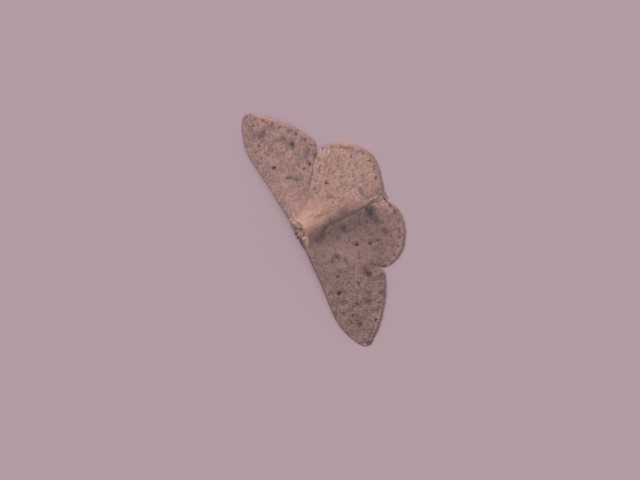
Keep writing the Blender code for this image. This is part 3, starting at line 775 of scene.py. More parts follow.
        # soft mottling, faint wavy bands across the wing and the pale zone at its base
        made = np.zeros((len(p), 4))
        spec = self.spec
        outer = ease((u - spec["cloudFrom"]) / 0.40)
        fine = ripple(p, 0.66, self.seed + 1) + 0.8 * ripple(p, 0.28, self.seed + 2)
        made[:, 2] = spec["brown"] * ease(fine - 0.05) * (0.35 + 0.65 * outer)
        wide = ripple(p, 1.5, self.seed + 3)
        made[:, 1] = spec["slate"] * ease((wide - 0.20) / 0.6) * outer
        waved = u + 0.012 * ripple(p, 0.9, self.seed + 4)
        broken = 0.6 + 0.4 * ripple(p, 0.7, self.seed + 5)
        for place, width, strength in spec["bands"]:
            band = strength * np.exp(-((waved - place) / width) ** 2) * broken
            made[:, 2] = np.maximum(made[:, 2], band)
        if self.kind == "forewing":   # behind a slanting line from the front edge to the rear one
            near = ease((p[:, 1] - 1.01 * p[:, 0] + 1.66) / 0.9)
        else:
            near = 1 - ease((u - 0.30) / 0.45)
        base, rest = spec["pale"][self.word]
        made[:, 3] = rest + (base - rest) * near
        made[:, 2] *= 1 - 0.4 * near
        if self.kind == "hindwing":   # painted shading beside the abdomen: darker on the lit right hindwing, lighter in the abdomen's shadow on the left one
            lean = np.interp(p[:, 1], abdomenRows[:, 1], abdomenRows[:, 0])
            painted_shading, width = spec["beside"][self.word]
            beside = 1 - ease((abs(p[:, 0] * sides[self.word] - lean) - 0.5) / width)
            beside = beside * ease((p[:, 1] - 3.0) / 1.2) * (0.7 + 0.3 * fine)
            if painted_shading > 0:
                made[:, 2] = np.maximum(made[:, 2], painted_shading * beside)
                made[:, 3] *= 1 - 1.6 * painted_shading * np.clip(beside, 0, 1)
            else:
                made[:, 3] = np.maximum(made[:, 3], -painted_shading * beside)
        return made


def wingFrameAt(wing, u, v, face):
    # where a scale grows, which way it lies and which way is out of the skin
    step = 0.004
    p = wing.flat(u, v)
    here = wing.raised(p, u, v)
    plain = wing.raised(p, u, v, False)
    out = wing.raised(wing.flat(u + step, v), u + step, v, False) - plain
    back = wing.raised(wing.flat(u, v + step), u, v + step, False) - plain
    normal = unit(np.cross(out, back))
    if face < 0:
        here = here - normal * wingForm["membrane"]
        normal = -normal
    return p, here, unit(out), normal


def scaleRows(wing, rows, spacing, draw):
    # shares (u, v) of scales set in rows across the wing, each row shifted against the last
    us, vs = [], []
    for row in range(rows):
        u = (row + 0.5) / rows
        line = wing.flat(np.full(40, u), np.linspace(0, 1, 40))
        count = max(4, int(lengthOf(line) / spacing))
        v = (np.arange(count) + 0.5 * (row % 2) + draw.uniform(-0.32, 0.32, count) + 0.25) / count
        us.append(np.full(count, u) + draw.uniform(-0.35, 0.35, count) / rows)
        vs.append(v)
    u, v = np.concatenate(us), np.clip(np.concatenate(vs), 0.006, 0.995)
    u = u * np.clip(wing.reach(v) + 0.004, 0.5, 1)
    start, end = wing.startOf(u), wing.endOf(u)
    return u, start + v * (end - start)


def mirrored(p, side):
    return p * np.array([side, 1, 1])


def buildWingSkin(wing, side):
    # the membrane: a grid laid over the wing's shape, with a thickness
    name = f"{wing.kind}_{wing.word}"
    across, down = wing.spec["grid"]
    bpy.ops.object.select_all(action="DESELECT")
    bpy.ops.mesh.primitive_grid_add(x_subdivisions=across, y_subdivisions=down, size=1)
    skin = bpy.context.active_object
    skin.name = skin.data.name = f"{wing.kind}Skin_{wing.word}"
    uv = pointsOf(skin)[:, :2] + 0.5
    u = uv[:, 0] * wing.reach(1 - uv[:, 1])
    start, end = wing.startOf(u), wing.endOf(u)
    v = start + (end - start) * (1 - uv[:, 1])
    p = wing.flat(u, v)
    setPoints(skin, mirrored(wing.raised(p, u, v), side))
    if side > 0:   # the grid's faces look down on this side
        activate(skin)
        bpy.ops.object.mode_set(mode="EDIT")
        bpy.ops.mesh.select_all(action="SELECT")
        bpy.ops.mesh.flip_normals()
        bpy.ops.object.mode_set(mode="OBJECT")
    setAttribute(skin.data, "marks", "FLOAT_COLOR", wing.marksAt(p, u))
    setAttribute(skin.data, "tone", "FLOAT", np.full(len(p), 0.82))
    wall = skin.modifiers.new("membrane", "SOLIDIFY")
    wall.thickness = wingForm["membrane"]
    wall.offset = -1
    applyAll(skin)
    skin.data.shade_smooth()
    settle(skin, skinFinish, [name])


scaleSet = {
    "spacing": 0.062, "underSpacing": 0.11,   # mm across a row, above and below
    "width": 1.40,                            # for the spacing
    "length": 2.3, "lengths": (0.14, 0.34),   # for the way to the next row, then least and most
    "thickness": 0.008, "rise": (0.050, 0.015), "droop": 0.015,
    "stray": 0.12, "marksStray": 0.03,        # how unevenly the scales lie and their markings end
    "brownFlecks": 0.05, "paleFlecks": 0.12, "fleckStrength": (0.2, 0.5),
    "underMarks": 0.45,                       # how strong the markings are below
}


def layScales(wing, side, face, draw):
    # overlapping scales in rows over one face of a wing
    s = scaleSet
    upper = face > 0
    rows = wing.spec["rows" if upper else "underRows"]
    spacing = s["spacing" if upper else "underSpacing"]
    u, v = scaleRows(wing, rows, spacing, draw)
    p, here, lie, normal = wingFrameAt(wing, u, v, face)
    count = len(u)
    marks = wing.marksAt(p + draw.normal(0, s["marksStray"], (count, 2)), u)
    if not upper:
        marks *= s["underMarks"]
    fleck = draw.random(count)
    for column, chosen in ((2, fleck < s["brownFlecks"]), (3, fleck > 1 - s["paleFlecks"])):
        marks[:, column] = np.maximum(marks[:, column],
                                      np.where(chosen, draw.uniform(*s["fleckStrength"], count), 0))
    tone = toneOf(draw, count, low=0.75, high=1.25) * wing.spec["tone"][wing.word]
    step = np.linalg.norm(wing.flat(np.minimum(u + 1 / rows, 1), v) - p, axis=1)
    length = np.clip(step * s["length"], *s["lengths"]) * draw.uniform(0.85, 1.15, count)
    sizes = sized(length, spacing * s["width"] * draw.uniform(0.85, 1.15, count), s["thickness"])
    curl = np.column_stack([draw.normal(*s["rise"], count), np.full(count, s["droop"])])
    lie = unit(lie + s["stray"] * draw.normal(0, 1, (count, 3)))
    bake = np.column_stack([u * 0.48 + (0.0 if upper else 0.5), (v + 0.1) / 1.2 * 0.96 + 0.02])
    name = f"{wing.kind}{'Upper' if upper else 'Under'}Scales_{wing.word}"
    coat = layVanes(name, "scale", mirrored(here, side), mirrored(lie, side), mirrored(normal, side),
                    sizes, curl, marks, tone, bake, 40 + side + face)
    settle(coat, scaleFinish)


costaSet = {
    "from": 0.08, "to": 0.985,      # shares of the front edge
    "root": 0.085, "tip": 0.040,    # radius
    "sink": 0.20, "sinkShare": 0.08,   # how far it goes down into the fur at the root
    "scaleSpacing": 0.016, "scaleLength": 0.17, "scaleWidth": 0.065, "thickness": 0.014,
    "turns": (-1.2, 2.2),           # scales from below the edge, round its front, to above it
}


def buildCosta(wing, side):
    # the stout vein along the front edge, with close scales lying along it
    s = costaSet
    t = np.linspace(s["from"], s["to"], 150)
    centre = wing.raised(wing.flat(t, np.full(150, 0.004)), t, np.zeros(150), False)
    radius = s["root"] + (s["tip"] - s["root"]) * t
    centre[:, 2] -= 0.5 * wingForm["membrane"] + s["sink"] * (1 - ease((t - s["from"]) / s["sinkShare"]))
    made = rod(f"costa_{wing.word}", np.column_stack([mirrored(centre, side), radius]), 10)
    plainMarks(made, (0.1, 0.1, 0.5, 0), 0.85)
    settle(made, skinFinish)
    draw = np.random.default_rng(130 + side)
    count = int(lengthOf(centre) / s["scaleSpacing"])
    t = (np.arange(count) + draw.uniform(0, 1, count)) / count
    ahead = headingAt(centre, t, 0.01)
    turn = draw.uniform(*s["turns"], count)
    out = np.column_stack([np.zeros(count), -np.cos(turn), np.sin(turn)])
    out = unit(out - np.sum(out * ahead, axis=1, keepdims=True) * ahead)
    here = along(centre, t) + out * (0.92 * (s["root"] + (s["tip"] - s["root"]) * t))[:, None]
    marks = np.zeros((count, 4))
    marks[:, 2] = draw.uniform(0.2, 0.9, count) * (turn < 1.5)
    marks[:, 0] = 0.25 * (turn < 1.2) * draw.uniform(0, 1, count)
    sizes = sized(s["scaleLength"] * draw.uniform(0.8, 1.2, count), s["scaleWidth"], s["thickness"])
    coat = layVanes(f"costaScales_{wing.word}", "scale", mirrored(here, side), mirrored(ahead, side),
                    mirrored(out, side), sizes, sameCurl(count, 0.10, 0.04), marks,
                    toneOf(draw, count, 0.1, 0.7, 1.2, 0.95),
                    np.column_stack([t * 0.48, np.full(count, 0.01)]), 133 + side)
    settle(coat, scaleFinish)


fringeSet = {
    # form, share of the full length, width, how closely set
    "layers": [("scale", 0.42, 0.070, 1.0), ("scale", 0.58, 0.060, 1.0), ("strap", 0.74, 0.046, 0.9),
               ("hair", 0.90, 0.030, 0.7), ("hair", 1.06, 0.024, 0.6)],
    "spacing": 0.034, "thickness": 0.012,
    "overlap": 0.36,                        # how much further in than its length a vane starts
    "sink": 0.012, "layerRise": 0.006,      # mm below the skin at the base, and up with each layer
    "tipSink": 0.02, "stray": (0.11, 0.05), # of the tips, and how unevenly they lie, across and up
    "fadeBefore": 0.035, "fadeBehind": 0.13,   # shares of the edge over which the corner's trim fades
    "baseBrown": (0.0, 0.12), "tipPale": (0.25, 0.80),
    "tipBrown": (0.10, 0.4),                # how many, and how strong
    # how light each side's fringe is made: painted shading set for how each side is lit
    "tone": {"left": 0.96, "right": 0.98},
}
# the fringe's own pinkish colour, made lighter than the wing's partly as painted light for the glow of light
# through it
fringePalette = {**palette, "ground": (0.640, 0.415, 0.370), "pale": (0.860, 0.580, 0.490)}
fringeFinish = patternMaterial("fringe", fringePalette)


def fringeShares(t, cornerShare):
    # (u, v) on the wing's rim, from the apex round the outer edge and back along the rear edge
    u = 1 - np.clip((t - cornerShare) / (1 - cornerShare), 0, 1)
    v = np.clip(t / cornerShare, 0, 1)
    return u, v


def buildFringe(wing, side):
    # long narrow scales that stand out round the outer edge and shorter ones along the rear
    s, spec = fringeSet, wing.spec
    draw = np.random.default_rng(70 + side + len(wing.kind))
    total = lengthOf(wing.outer) + lengthOf(wing.rear)
    cornerShare = lengthOf(wing.outer) / total
    middle = wing.loop.mean(axis=0)
    extend = max(0.0, -spec["rearCut"][wing.word])
    for number, (form, share, width, density) in enumerate(s["layers"]):
        count = int(total / s["spacing"] * density)
        t = (np.arange(count) + draw.uniform(0, 1, count)) / count * 0.975
        u, v = fringeShares(t, cornerShare)
        kept = u > spec["rearFrom"]   # none where the wing runs on under the abdomen
        t, u, v, count = t[kept], u[kept], v[kept], int(kept.sum())
        edge = wing.flat(u, v)
        before = wing.flat(*fringeShares(np.maximum(t - 0.012, 0), cornerShare))
        after = wing.flat(*fringeShares(np.minimum(t + 0.012, 1), cornerShare))
        ahead = after - before
        out = unit(np.column_stack([ahead[:, 1], -ahead[:, 0]]))
        if np.sum(out * (edge - middle)) < 0:
            out = -out
        rear = ease((t - cornerShare + 0.01) / 0.05)
        full = wing.fringeAt(v) * (1 - rear) + spec["rearFringe"] * rear
        fade = np.where(t > cornerShare, s["fadeBehind"], s["fadeBefore"])
        full = full * (1 - spec["cornerTrim"] * np.exp(-((t - cornerShare) / fade) ** 2))
        edge = edge + out * (extend * rear)[:, None]
        base = edge - out * (full * (1 + s["overlap"]))[:, None]
        length = full * (share + s["overlap"]) * draw.uniform(0.84, 1.02, count)
        lift = wing.raised(base, u, v, False)[:, 2] + s["layerRise"] * number - s["sink"]
        far = wing.raised(edge, u, v, False)[:, 2] - s["tipSink"] - spec["rearDrop"] * rear
        lie = np.column_stack([out * full[:, None], far - lift])
        across, up = s["stray"]
        lie = unit(unit(lie) + np.column_stack([across * draw.normal(0, 1, (count, 2)),
                                                up * draw.normal(0, 1, count)]))
        normal = unit(np.cross(np.cross(lie, [0, 0, 1.0]), lie))
        marks, tips = np.zeros((count, 4)), np.zeros((count, 4))
        marks[:, 2] = draw.uniform(*s["baseBrown"], count)
        tips[:, 3] = draw.uniform(*s["tipPale"], count)
        many, strength = s["tipBrown"]
        tips[:, 2] = np.where(draw.random(count) < many, strength, 0.0)
        tone = toneOf(draw, count) * s["tone"][wing.word]
        sizes = sized(length, width * draw.uniform(0.8, 1.2, count), s["thickness"])
        curl = np.column_stack([draw.normal(0.01, 0.03, count), draw.uniform(0.0, 0.05, count)])
        bake = np.column_stack([np.full(count, 0.485 + 0.002 * number), t])
        made = layVanes(f"{wing.kind}Fringe{number}_{wing.word}", form,
                        mirrored(np.column_stack([base, lift]), side), mirrored(lie, side),
                        mirrored(normal, side), sizes, curl, marks, tone, bake, 90 + side + number, tips)
        settle(made, fringeFinish)


def buildWing(kind, word):
    side = sides[word]
    wing = Wing(kind, word)
    buildWingSkin(wing, side)
    draw = np.random.default_rng(20 + len(f"{kind}_{word}") + side)
    for face in (1, -1):
        layScales(wing, side, face, draw)
    buildFringe(wing, side)
    if kind == "forewing":
        buildCosta(wing, side)
    print(kind, word, "dressed")
    return wing


wings = {(kind, word): buildWing(kind, word) for kind in ("hindwing", "forewing") for word in sides}
print("wings made")


# Body

def blob(form, less=0.0, side=1, tilt=0):
    centre, sizes = form
    bpy.ops.object.select_all(action="DESELECT")
    bpy.ops.mesh.primitive_uv_sphere_add(
        segments=36, ring_count=24, radius=1, location=(centre[0] * side, centre[1], centre[2]),
        rotation=(0, math.radians(tilt * side), 0), scale=[r - less for r in sizes],
    )
    return bpy.context.active_object


def buildBodySkin():
    depth = bodySet["coatDepth"]
    parts = [blob(bodySet["thorax"], depth), blob(bodySet["collar"], depth), blob(bodySet["head"], 0.03),
             blob(bodySet["neck"])]
    for side in sides.values():
        parts.append(blob(bodySet["shoulder"], depth, side, bodySet["shoulderTilt"]))
    rings = abdomenSet["rings"]
    ringLength = (abdomenSet["tip"] - abdomenSet["front"]) / rings
    for ring in range(rings):
        centre, radius = abdomenAt((ring + 0.62) / rings)
        radius -= abdomenSet["coatDepth"]
        parts.append(blob((centre, (radius, ringLength * abdomenSet["ringOverlap"], radius * 0.94))))
    skin = joinInto("bodySkin", parts)
    cover = skin.modifiers.new("cover", "REMESH")
    cover.mode = "VOXEL"
    cover.voxel_size = bodySet["voxel"]
    soften = skin.modifiers.new("soften", "SMOOTH")
    soften.factor = 0.5
    soften.iterations = bodySet["smoothing"]
    applyAll(skin)
    p = pointsOf(skin)
    share = ease((p[:, 1] - 0.62) / 0.3) * (1 - ease((p[:, 1] - 2.9) / 0.6)) * ease((p[:, 2] - 1.3) / 0.3)
    group = skin.vertex_groups.new(name="blend")
    for index in np.flatnonzero(share > 0.01):
        group.add([int(index)], float(share[index]), "REPLACE")
    blend = skin.modifiers.new("blend", "SMOOTH")
    blend.factor = 0.5
    blend.iterations = bodySet["blend"]
    blend.vertex_group = "blend"
    applyAll(skin)
    skin.data.shade_smooth()
    return skin


def scatter(obj, spacing, seed, low=(-99, -99, -99), high=(99, 99, 99)):
    # seeded points over a mesh, no two closer than the spacing, each with its normal
    draw = np.random.default_rng(seed)
    mesh = obj.data
    mesh.calc_loop_triangles()
    corners = np.array([t.vertices for t in mesh.loop_triangles])
    co = pointsOf(obj)
    normals = np.array([v.normal for v in mesh.vertices])
    centre = co[corners].mean(axis=1)
    corners = corners[np.all((centre > low) & (centre < high), axis=1)]
    a, b, c = (co[corners[:, k]] for k in range(3))
    area = 0.5 * np.linalg.norm(np.cross(b - a, c - a), axis=1)
    tries = int(area.sum() / spacing ** 2 * 3)
    pick = draw.choice(len(corners), tries, p=area / area.sum())
    w = draw.dirichlet((1, 1, 1), tries)
    p = np.einsum("nk,nkx->nx", w, co[corners[pick]])
    n = unit(np.einsum("nk,nkx->nx", w, normals[corners[pick]]))
    cells, kept = {}, []
    for i, q in enumerate(p):
        cell = tuple((q // spacing).astype(int))
        near = [j for x in (-1, 0, 1) for y in (-1, 0, 1) for z in (-1, 0, 1)
                for j in cells.get((cell[0] + x, cell[1] + y, cell[2] + z), ())]
        if all(np.sum((p[j] - q) ** 2) > spacing ** 2 for j in near):
            cells.setdefault(cell, []).append(i)
            kept.append(i)
    return p[kept], n[kept]


def roundMap(p, centre=(0.0, 0.0, 1.5), length=8.6):
    # an unwrap of the long body: round it and along it
    turn = np.arctan2(p[:, 0] - centre[0], p[:, 2] - centre[2]) / (2 * math.pi) + 0.5
    return np.column_stack([turn, np.clip((p[:, 1] + 0.3) / length, 0, 1)])


def bodyMarks(p):
    # black, slate, brown and pale on the body, the same for skin and coat
    made = np.zeros((len(p), 4))
    front = ease((0.04 - p[:, 1]) / 0.08) * ease((1.74 - p[:, 2]) / 0.10)
    made[:, 0] = 0.50 * front
    # pale thorax, fading towards the moth's left as painted shade on its shaded flank
    made[:, 3] = 0.85 * ease((3.4 - p[:, 1]) / 1.2) * (1 - front) * (1 - 0.7 * ease((p[:, 0] - 0.2) / 0.5))
    patch = np.hypot(p[:, 0] / 0.42, (p[:, 1] - 4.85) / 0.60)
    made[:, 1] = 0.50 * ease((1.35 - patch) / 0.8)
    made[:, 3] = np.maximum(made[:, 3], 0.7 * ease((p[:, 1] - 7.3) / 0.5))
    # lighter on the abdomen's left side: painted light where the body's shadow falls
    made[:, 3] = np.maximum(made[:, 3], 0.8 * ease((p[:, 0] - 0.10) / 0.3) * ease((p[:, 1] - 2.6) / 0.8))
    under = ease((1.15 - p[:, 2]) / 0.3)
    made[:, 3] = np.maximum(made[:, 3], 0.35 * under)
    speck = ease((ripple(p[:, :2], 0.30, 31) - 0.35) / 0.4)
    made[:, 2] = np.maximum((0.18 + 0.30 * speck) * ease((p[:, 1] - 2.4) / 1.5), 0.9 * front)
    return made


furSet = {
    # how far back each region starts and ends, then each vane's form, spacing, length and width and how far
    # its tip stands off the coat below
    "head": {"y": (-0.4, 0.70), "form": "strap",
             "spacing": 0.032, "length": 0.17, "width": 0.030, "off": 0.045},
    "collar": {"y": (0.62, 1.35), "form": "hair",
               "spacing": 0.034, "length": 0.42, "width": 0.030, "off": 0.085},
    "back": {"y": (1.30, 3.15), "form": "hair",
             "spacing": 0.034, "length": 0.52, "width": 0.030, "off": 0.080},
    "abdomen": {"y": (3.05, 8.6), "form": "strap",
                "spacing": 0.042, "length": 0.26, "width": 0.052, "off": 0.050},
}
# longer hair over the coat: the box that its roots lie in and the way it lies, on the left side, then as
# above
tuftSet = {
    "patagia": {"low": (0.0, 0.60, 1.70), "high": (1.6, 1.10, 3.0), "lie": (0.55, 1.0, 0.0),
                "spacing": 0.048, "length": (0.50, 0.80), "width": 0.030, "off": 0.10},
    "mantle": {"low": (0.0, 1.00, 1.80), "high": (1.6, 3.10, 3.0), "lie": (0.42, 1.0, 0.0),
               "spacing": 0.050, "length": (0.60, 1.00), "width": 0.030, "off": 0.11},
    "shoulder": {"low": (0.45, 0.30, 1.45), "high": (1.8, 2.40, 2.6), "lie": (1.0, 0.55, 0.0),
                 "spacing": 0.040, "length": (0.50, 0.95), "width": 0.030, "off": 0.08},
    "flank": {"low": (0.25, 1.50, 1.00), "high": (1.3, 7.60, 2.6), "lie": (0.75, 1.0, 0.0),
              "spacing": 0.042, "length": (0.40, 0.75), "width": 0.032, "off": 0.06},
    "gape": {"low": (0.30, 0.22, 1.20), "high": (1.5, 0.80, 2.3), "lie": (1.0, -0.30, 0.0),
             "spacing": 0.034, "length": (0.40, 0.70), "width": 0.030, "off": 0.05},
    "brow": {"low": (0.12, 0.04, 1.52), "high": (0.62, 0.62, 2.0), "lie": (1.0, -0.05, 0.0),
             "spacing": 0.025, "length": (0.42, 0.62), "width": 0.034, "off": 0.03},
}


def buildGuide(skin):
    # the surface that hair is led over: the body, the eyes and the inner part of the wings
    points = pointsOf(skin).tolist()
    faces = [tuple(face.vertices) for face in skin.data.polygons]
    for side in sides.values():
        eye = blob(bodySet["eye"], -0.02, side)
        applyAll(eye)
        faces += [tuple(len(points) + i for i in face.vertices) for face in eye.data.polygons]
        points += pointsOf(eye).tolist()
        bpy.data.objects.remove(eye)
    across, down = 30, 18
    shares = np.meshgrid(np.linspace(0, 0.9, across), np.linspace(0, 1, down), indexing="ij")
    for wing in wings.values():
        u, v = (share.ravel() for share in shares)
        start, end = wing.startOf(u), wing.endOf(u)
        v = start + v * (end - start)
        base = len(points)
        points += mirrored(wing.raised(wing.flat(u, v), u, v, False), sides[wing.word]).tolist()
        for i in range(across - 1):
            for j in range(down - 1):
                first = base + i * down + j
                faces.append((first, first + down, first + down + 1, first + 1))
    return BVHTree.FromPolygons(points, faces)


def leadHair(guide, roots, n, lie, length, off):
    # the middle and tip of each hair, led over the guide so that it hugs the body and the wings
    middles, ends, outs = [], [], []
    for root, out, way, reach, high in zip(roots, n, lie, length, off):
        here, up, way = Vector(root), Vector(out), Vector(way)
        steps = []
        for share in (0.5, 1.0):
            flat = (way - up * up.dot(way)).normalized()
            here, face, _, _ = guide.find_nearest(here + flat * (0.5 * reach))
            up = face if face.dot(up) > -0.2 else -face
            steps.append(here + up * (high * share))
        middles.append(steps[0])
        ends.append(steps[1])
        outs.append(up)
    return np.array(middles), np.array(ends), np.array(outs)


def furLie(region, p):
    # which way the coat lies: down the face, forward over the crown, spreading from the collar, then back
    x, y = np.clip(p[:, 0], -1.2, 1.2), p[:, 1]
    if region == "head":
        facing = ease((0.12 - y) / 0.2)
        return np.column_stack([0.3 * x, -1.0 + 0.8 * facing, -1.2 * facing])
    if region == "collar":
        back = np.maximum(ease((y - 0.72) / 0.40), 1 - ease((abs(x) - 0.25) / 0.40))
        return np.column_stack([(1.3 - 0.6 * back) * x, -0.50 + 1.50 * back, -0.20 + 0.08 * back])
    spread = 0.70 if region == "back" else 0.10
    return np.column_stack([spread * x, np.ones(len(p)), np.full(len(p), -0.10)])


def layCoat(name, form, roots, n, lie, length, width, off, seed, guide):
    # one piece of the body's coat, its vanes marked as the skin is where they grow
    draw = np.random.default_rng(seed)
    count = len(roots)
    lie = unit(unit(lie) + 0.10 * draw.normal(0, 1, (count, 3)))
    marks = bodyMarks(roots + draw.normal(0, 0.02, (count, 3)))
    marks[:, 3] = np.clip(marks[:, 3] * draw.uniform(0.6, 1.2, count), 0, 1)
    marks[:, 2] = np.maximum(marks[:, 2], np.where(draw.random(count) < 0.04, 0.4, 0))
    tone = toneOf(draw, count, 0.08, 0.75, 1.25, 1.02)
    sizes = sized(length, width * draw.uniform(0.8, 1.2, count), hairThickness)
    led = None
    if guide:
        led = leadHair(guide, roots, n, lie, length, off * draw.uniform(0.4, 1.2, count))
    curl = sameCurl(count, off / 0.6, 0.12)   # for hair that isn't led
    coat = layVanes(name, form, roots - n * 0.01, lie, n, sizes, curl, marks, tone, roundMap(roots), seed + 1,
                    led=led)
    settle(coat, furFinish)


def buildBody():
    skin = buildBodySkin()
    p = pointsOf(skin)
    setAttribute(skin.data, "marks", "FLOAT_COLOR", bodyMarks(p))
    setAttribute(skin.data, "tone", "FLOAT", np.full(len(p), 0.80))
    guide = buildGuide(skin)
    for index, (region, spec) in enumerate(furSet.items()):
        draw = np.random.default_rng(200 + index)
        low, high = spec["y"]
        roots, n = scatter(skin, spec["spacing"], 210 + index, (-9, low, -9), (9, high, 9))
        length = spec["length"] * draw.uniform(0.7, 1.2, len(roots))
        if region == "head":
            length = length * (1 - 0.50 * ease((0.16 - roots[:, 1]) / 0.2))
        if region == "abdomen":
            length = length * (1 + 1.3 * ease((roots[:, 1] - 7.6) / 0.5))
            share = (roots[:, 1] - abdomenSet["front"]) / (abdomenSet["tip"] - abdomenSet["front"])
            length = length * (1 + 0.35 * ease((share * abdomenSet["rings"] % 1 - 0.55) / 0.3))
        layCoat(f"{region}Fur", spec["form"], roots, n, furLie(region, roots), length, spec["width"],
                spec["off"], 220 + index, guide)
    buildTufts(skin, guide)
    buildRootHair(guide)
    buildLappets()
    buildTailTuft()
    settle(skin, furSkinFinish, ["head", "thorax", "abdomen"])


def buildTufts(skin, guide):
    # longer scales: over the wing roots, beside the head and over the eyes
    for index, (name, spec) in enumerate(tuftSet.items()):
        parts = []
        for side in sides.values():
            ends = mirrored(np.array([spec["low"], spec["high"]]), side)
            roots, n = scatter(skin, spec["spacing"], 260 + 4 * index + side,
                               ends.min(axis=0), ends.max(axis=0))
            parts.append((roots, n, mirrored(np.tile(spec["lie"], (len(roots), 1)), side)))
        roots, n, lie = (np.concatenate([part[k] for part in parts]) for k in range(3))
        keep = n[:, 2] > -0.3
        roots, n, lie = roots[keep], n[keep], lie[keep]
        draw = np.random.default_rng(280 + index)
        length = draw.uniform(*spec["length"], len(roots))
        form = "strap" if name == "brow" else "hair"
        layCoat(f"{name}Tufts", form, roots, n, lie, length, spec["width"], spec["off"],
                290 + 2 * index, guide)


rootHairSet = {
    "count": 900, "reach": 0.20, "length": (0.45, 0.90), "width": 0.030, "off": 0.05,
    "inner": {"forewing": 0, "hindwing": 700},   # more along the edge that lies against the body
}


def buildRootHair(guide):
    # long pale hair over the first part of each wing, which joins it to the body
    s = rootHairSet
    for (kind, word), wing in wings.items():
        side = sides[word]
        draw = np.random.default_rng(120 + side + len(kind))
        count, inner = s["count"], s["inner"][kind]
        u = s["reach"] * draw.uniform(0.02, 1, count) ** 1.5
        v = draw.uniform(0.02, 0.98, count)
        u = np.concatenate([u, draw.uniform(0.0, 0.50, inner)])
        v = np.concatenate([v, draw.uniform(0.95, 1.07, inner)])
        beside = np.arange(count + inner) >= count
        count += inner
        here, lie, normal = (mirrored(part, side) for part in wingFrameAt(wing, u, v, 1)[1:])
        lie = unit(lie * np.where(beside, 0.25, 1)[:, None] + np.array([0, 0.75, 0])
                   + 0.15 * draw.normal(0, 1, (count, 3)))
        length = draw.uniform(*s["length"], count) * np.where(beside, 0.7, 1 - 0.5 * u / s["reach"])
        marks = np.zeros((count, 4))
        marks[:, 3] = draw.uniform(0.3, 0.9, count)
        sizes = sized(length, s["width"] * draw.uniform(0.7, 1.2, count), hairThickness)
        led = leadHair(guide, here, normal, lie, length, s["off"] * draw.uniform(0.3, 1.2, count))
        made = layVanes(f"{kind}RootHair_{word}", "hair", here, lie, normal, sizes, sameCurl(count, 0.0, 0.0),
                        marks, toneOf(draw, count), np.column_stack([u * 0.48, v * 0.8 + 0.1]), 125 + side,
                        led=led)
        settle(made, furFinish)


lappetSet = {
    # hair from the shoulder and the wing's front edge, then hair from the side of the head: how many there
    # are and which way they lie
    "layers": [(900, (0.62, -1.0, -0.03)), (900, (1.0, -0.30, 0.24))],
    "edgeX": (0.40, 1.70), "edgeBack": 0.25,   # the first grow along this part of the edge and behind it
    "headBox": [(0.38, 0.56), (0.26, 0.82), (1.62, 1.88)],   # and the second in this box
    "stray": 0.13, "front": -0.06,             # the line in front that no tip passes
    "width": 0.034,
}


def buildLappets():
    # the corner between the head and each wing is filled with long hair
    s = lappetSet
    for word, side in sides.items():
        wing = wings["forewing", word]
        edge = along(wing.front, np.linspace(0, 0.2, 60))
        for number, (count, way) in enumerate(s["layers"]):
            draw = np.random.default_rng(150 + side + 3 * number)
            if number == 0:
                x = draw.uniform(*s["edgeX"], count)
                y = np.interp(x, edge[:, 0], edge[:, 1]) + draw.uniform(0.0, s["edgeBack"], count)
                flat = np.column_stack([x, y])
                z = wing.raised(flat, np.clip((x - 0.5) / 12, 0, 1), np.zeros(count), False)[:, 2]
                z += 0.03 - 0.12 * draw.random(count)
            else:
                x, y, z = (draw.uniform(*reach, count) for reach in s["headBox"])
            lie = unit(unit(np.tile(way, (count, 1))) + s["stray"] * draw.normal(0, 1, (count, 3)))
            room = (y - s["front"]) / np.maximum(-lie[:, 1], 0.2)
            length = np.clip(np.minimum(room, 1.0) * draw.uniform(0.75, 1.05, count), 0.15, 0.95)
            marks = np.zeros((count, 4))
            marks[:, 3] = draw.uniform(0.6, 1.0, count)
            sizes = sized(length, s["width"] * draw.uniform(0.7, 1.2, count), hairThickness)
            curl = np.column_stack([draw.normal(0.04, 0.06, count), draw.uniform(0.08, 0.24, count)])
            normal = unit(np.tile([0.0, -0.1, 1.0], (count, 1)))
            made = layVanes(f"lappet{number}_{word}", "hair", mirrored(np.column_stack([x, y, z]), side),
                            mirrored(lie, side), normal, sizes, curl, marks, toneOf(draw, count, 0.09),
                            np.column_stack([0.5 + side * x * 0.25, y * 0.1 + 0.05]), 155 + side)
            settle(made, furFinish)


tailTuftSet = {
    "count": 320, "shares": (0.90, 0.99),   # how far along the abdomen the hairs grow
    "length": (0.35, 0.60), "width": 0.04, "off": 0.02, "lie": (0.10, 1, -0.12), "spread": 0.25,
}


def buildTailTuft():
    # hair scales round the tip of the abdomen
    s = tailTuftSet
    draw = np.random.default_rng(270)
    count = s["count"]
    places = [abdomenAt(share) for share in draw.uniform(*s["shares"], count)]
    turn = draw.uniform(0, 2 * math.pi, count)
    middle = np.array([place[0] for place in places])
    radius = np.array([place[1] for place in places])
    n = np.column_stack([np.cos(turn), np.zeros(count), np.sin(turn)])
    roots = middle + n * (0.8 * (radius - abdomenSet["coatDepth"]))[:, None]
    lie = np.array(s["lie"]) + s["spread"] * n
    layCoat("tailTuft", "hair", roots, n, lie, draw.uniform(*s["length"], count), s["width"], s["off"], 271,
            None)


furSkinFinish = patternMaterial("bodySkin", furPalette)
buildBody()
print("body made")


# Eyes, feelers and mouth

eyeSet = {
    # the eye's dark colour, and a painted sheen laid over it in patches
    "colour": (0.012, 0.009, 0.008), "paintedSheen": (0.045, 0.032, 0.024), "patchSize": 0.16,
    "facet": 0.022, "facetDepth": 0.008,
}


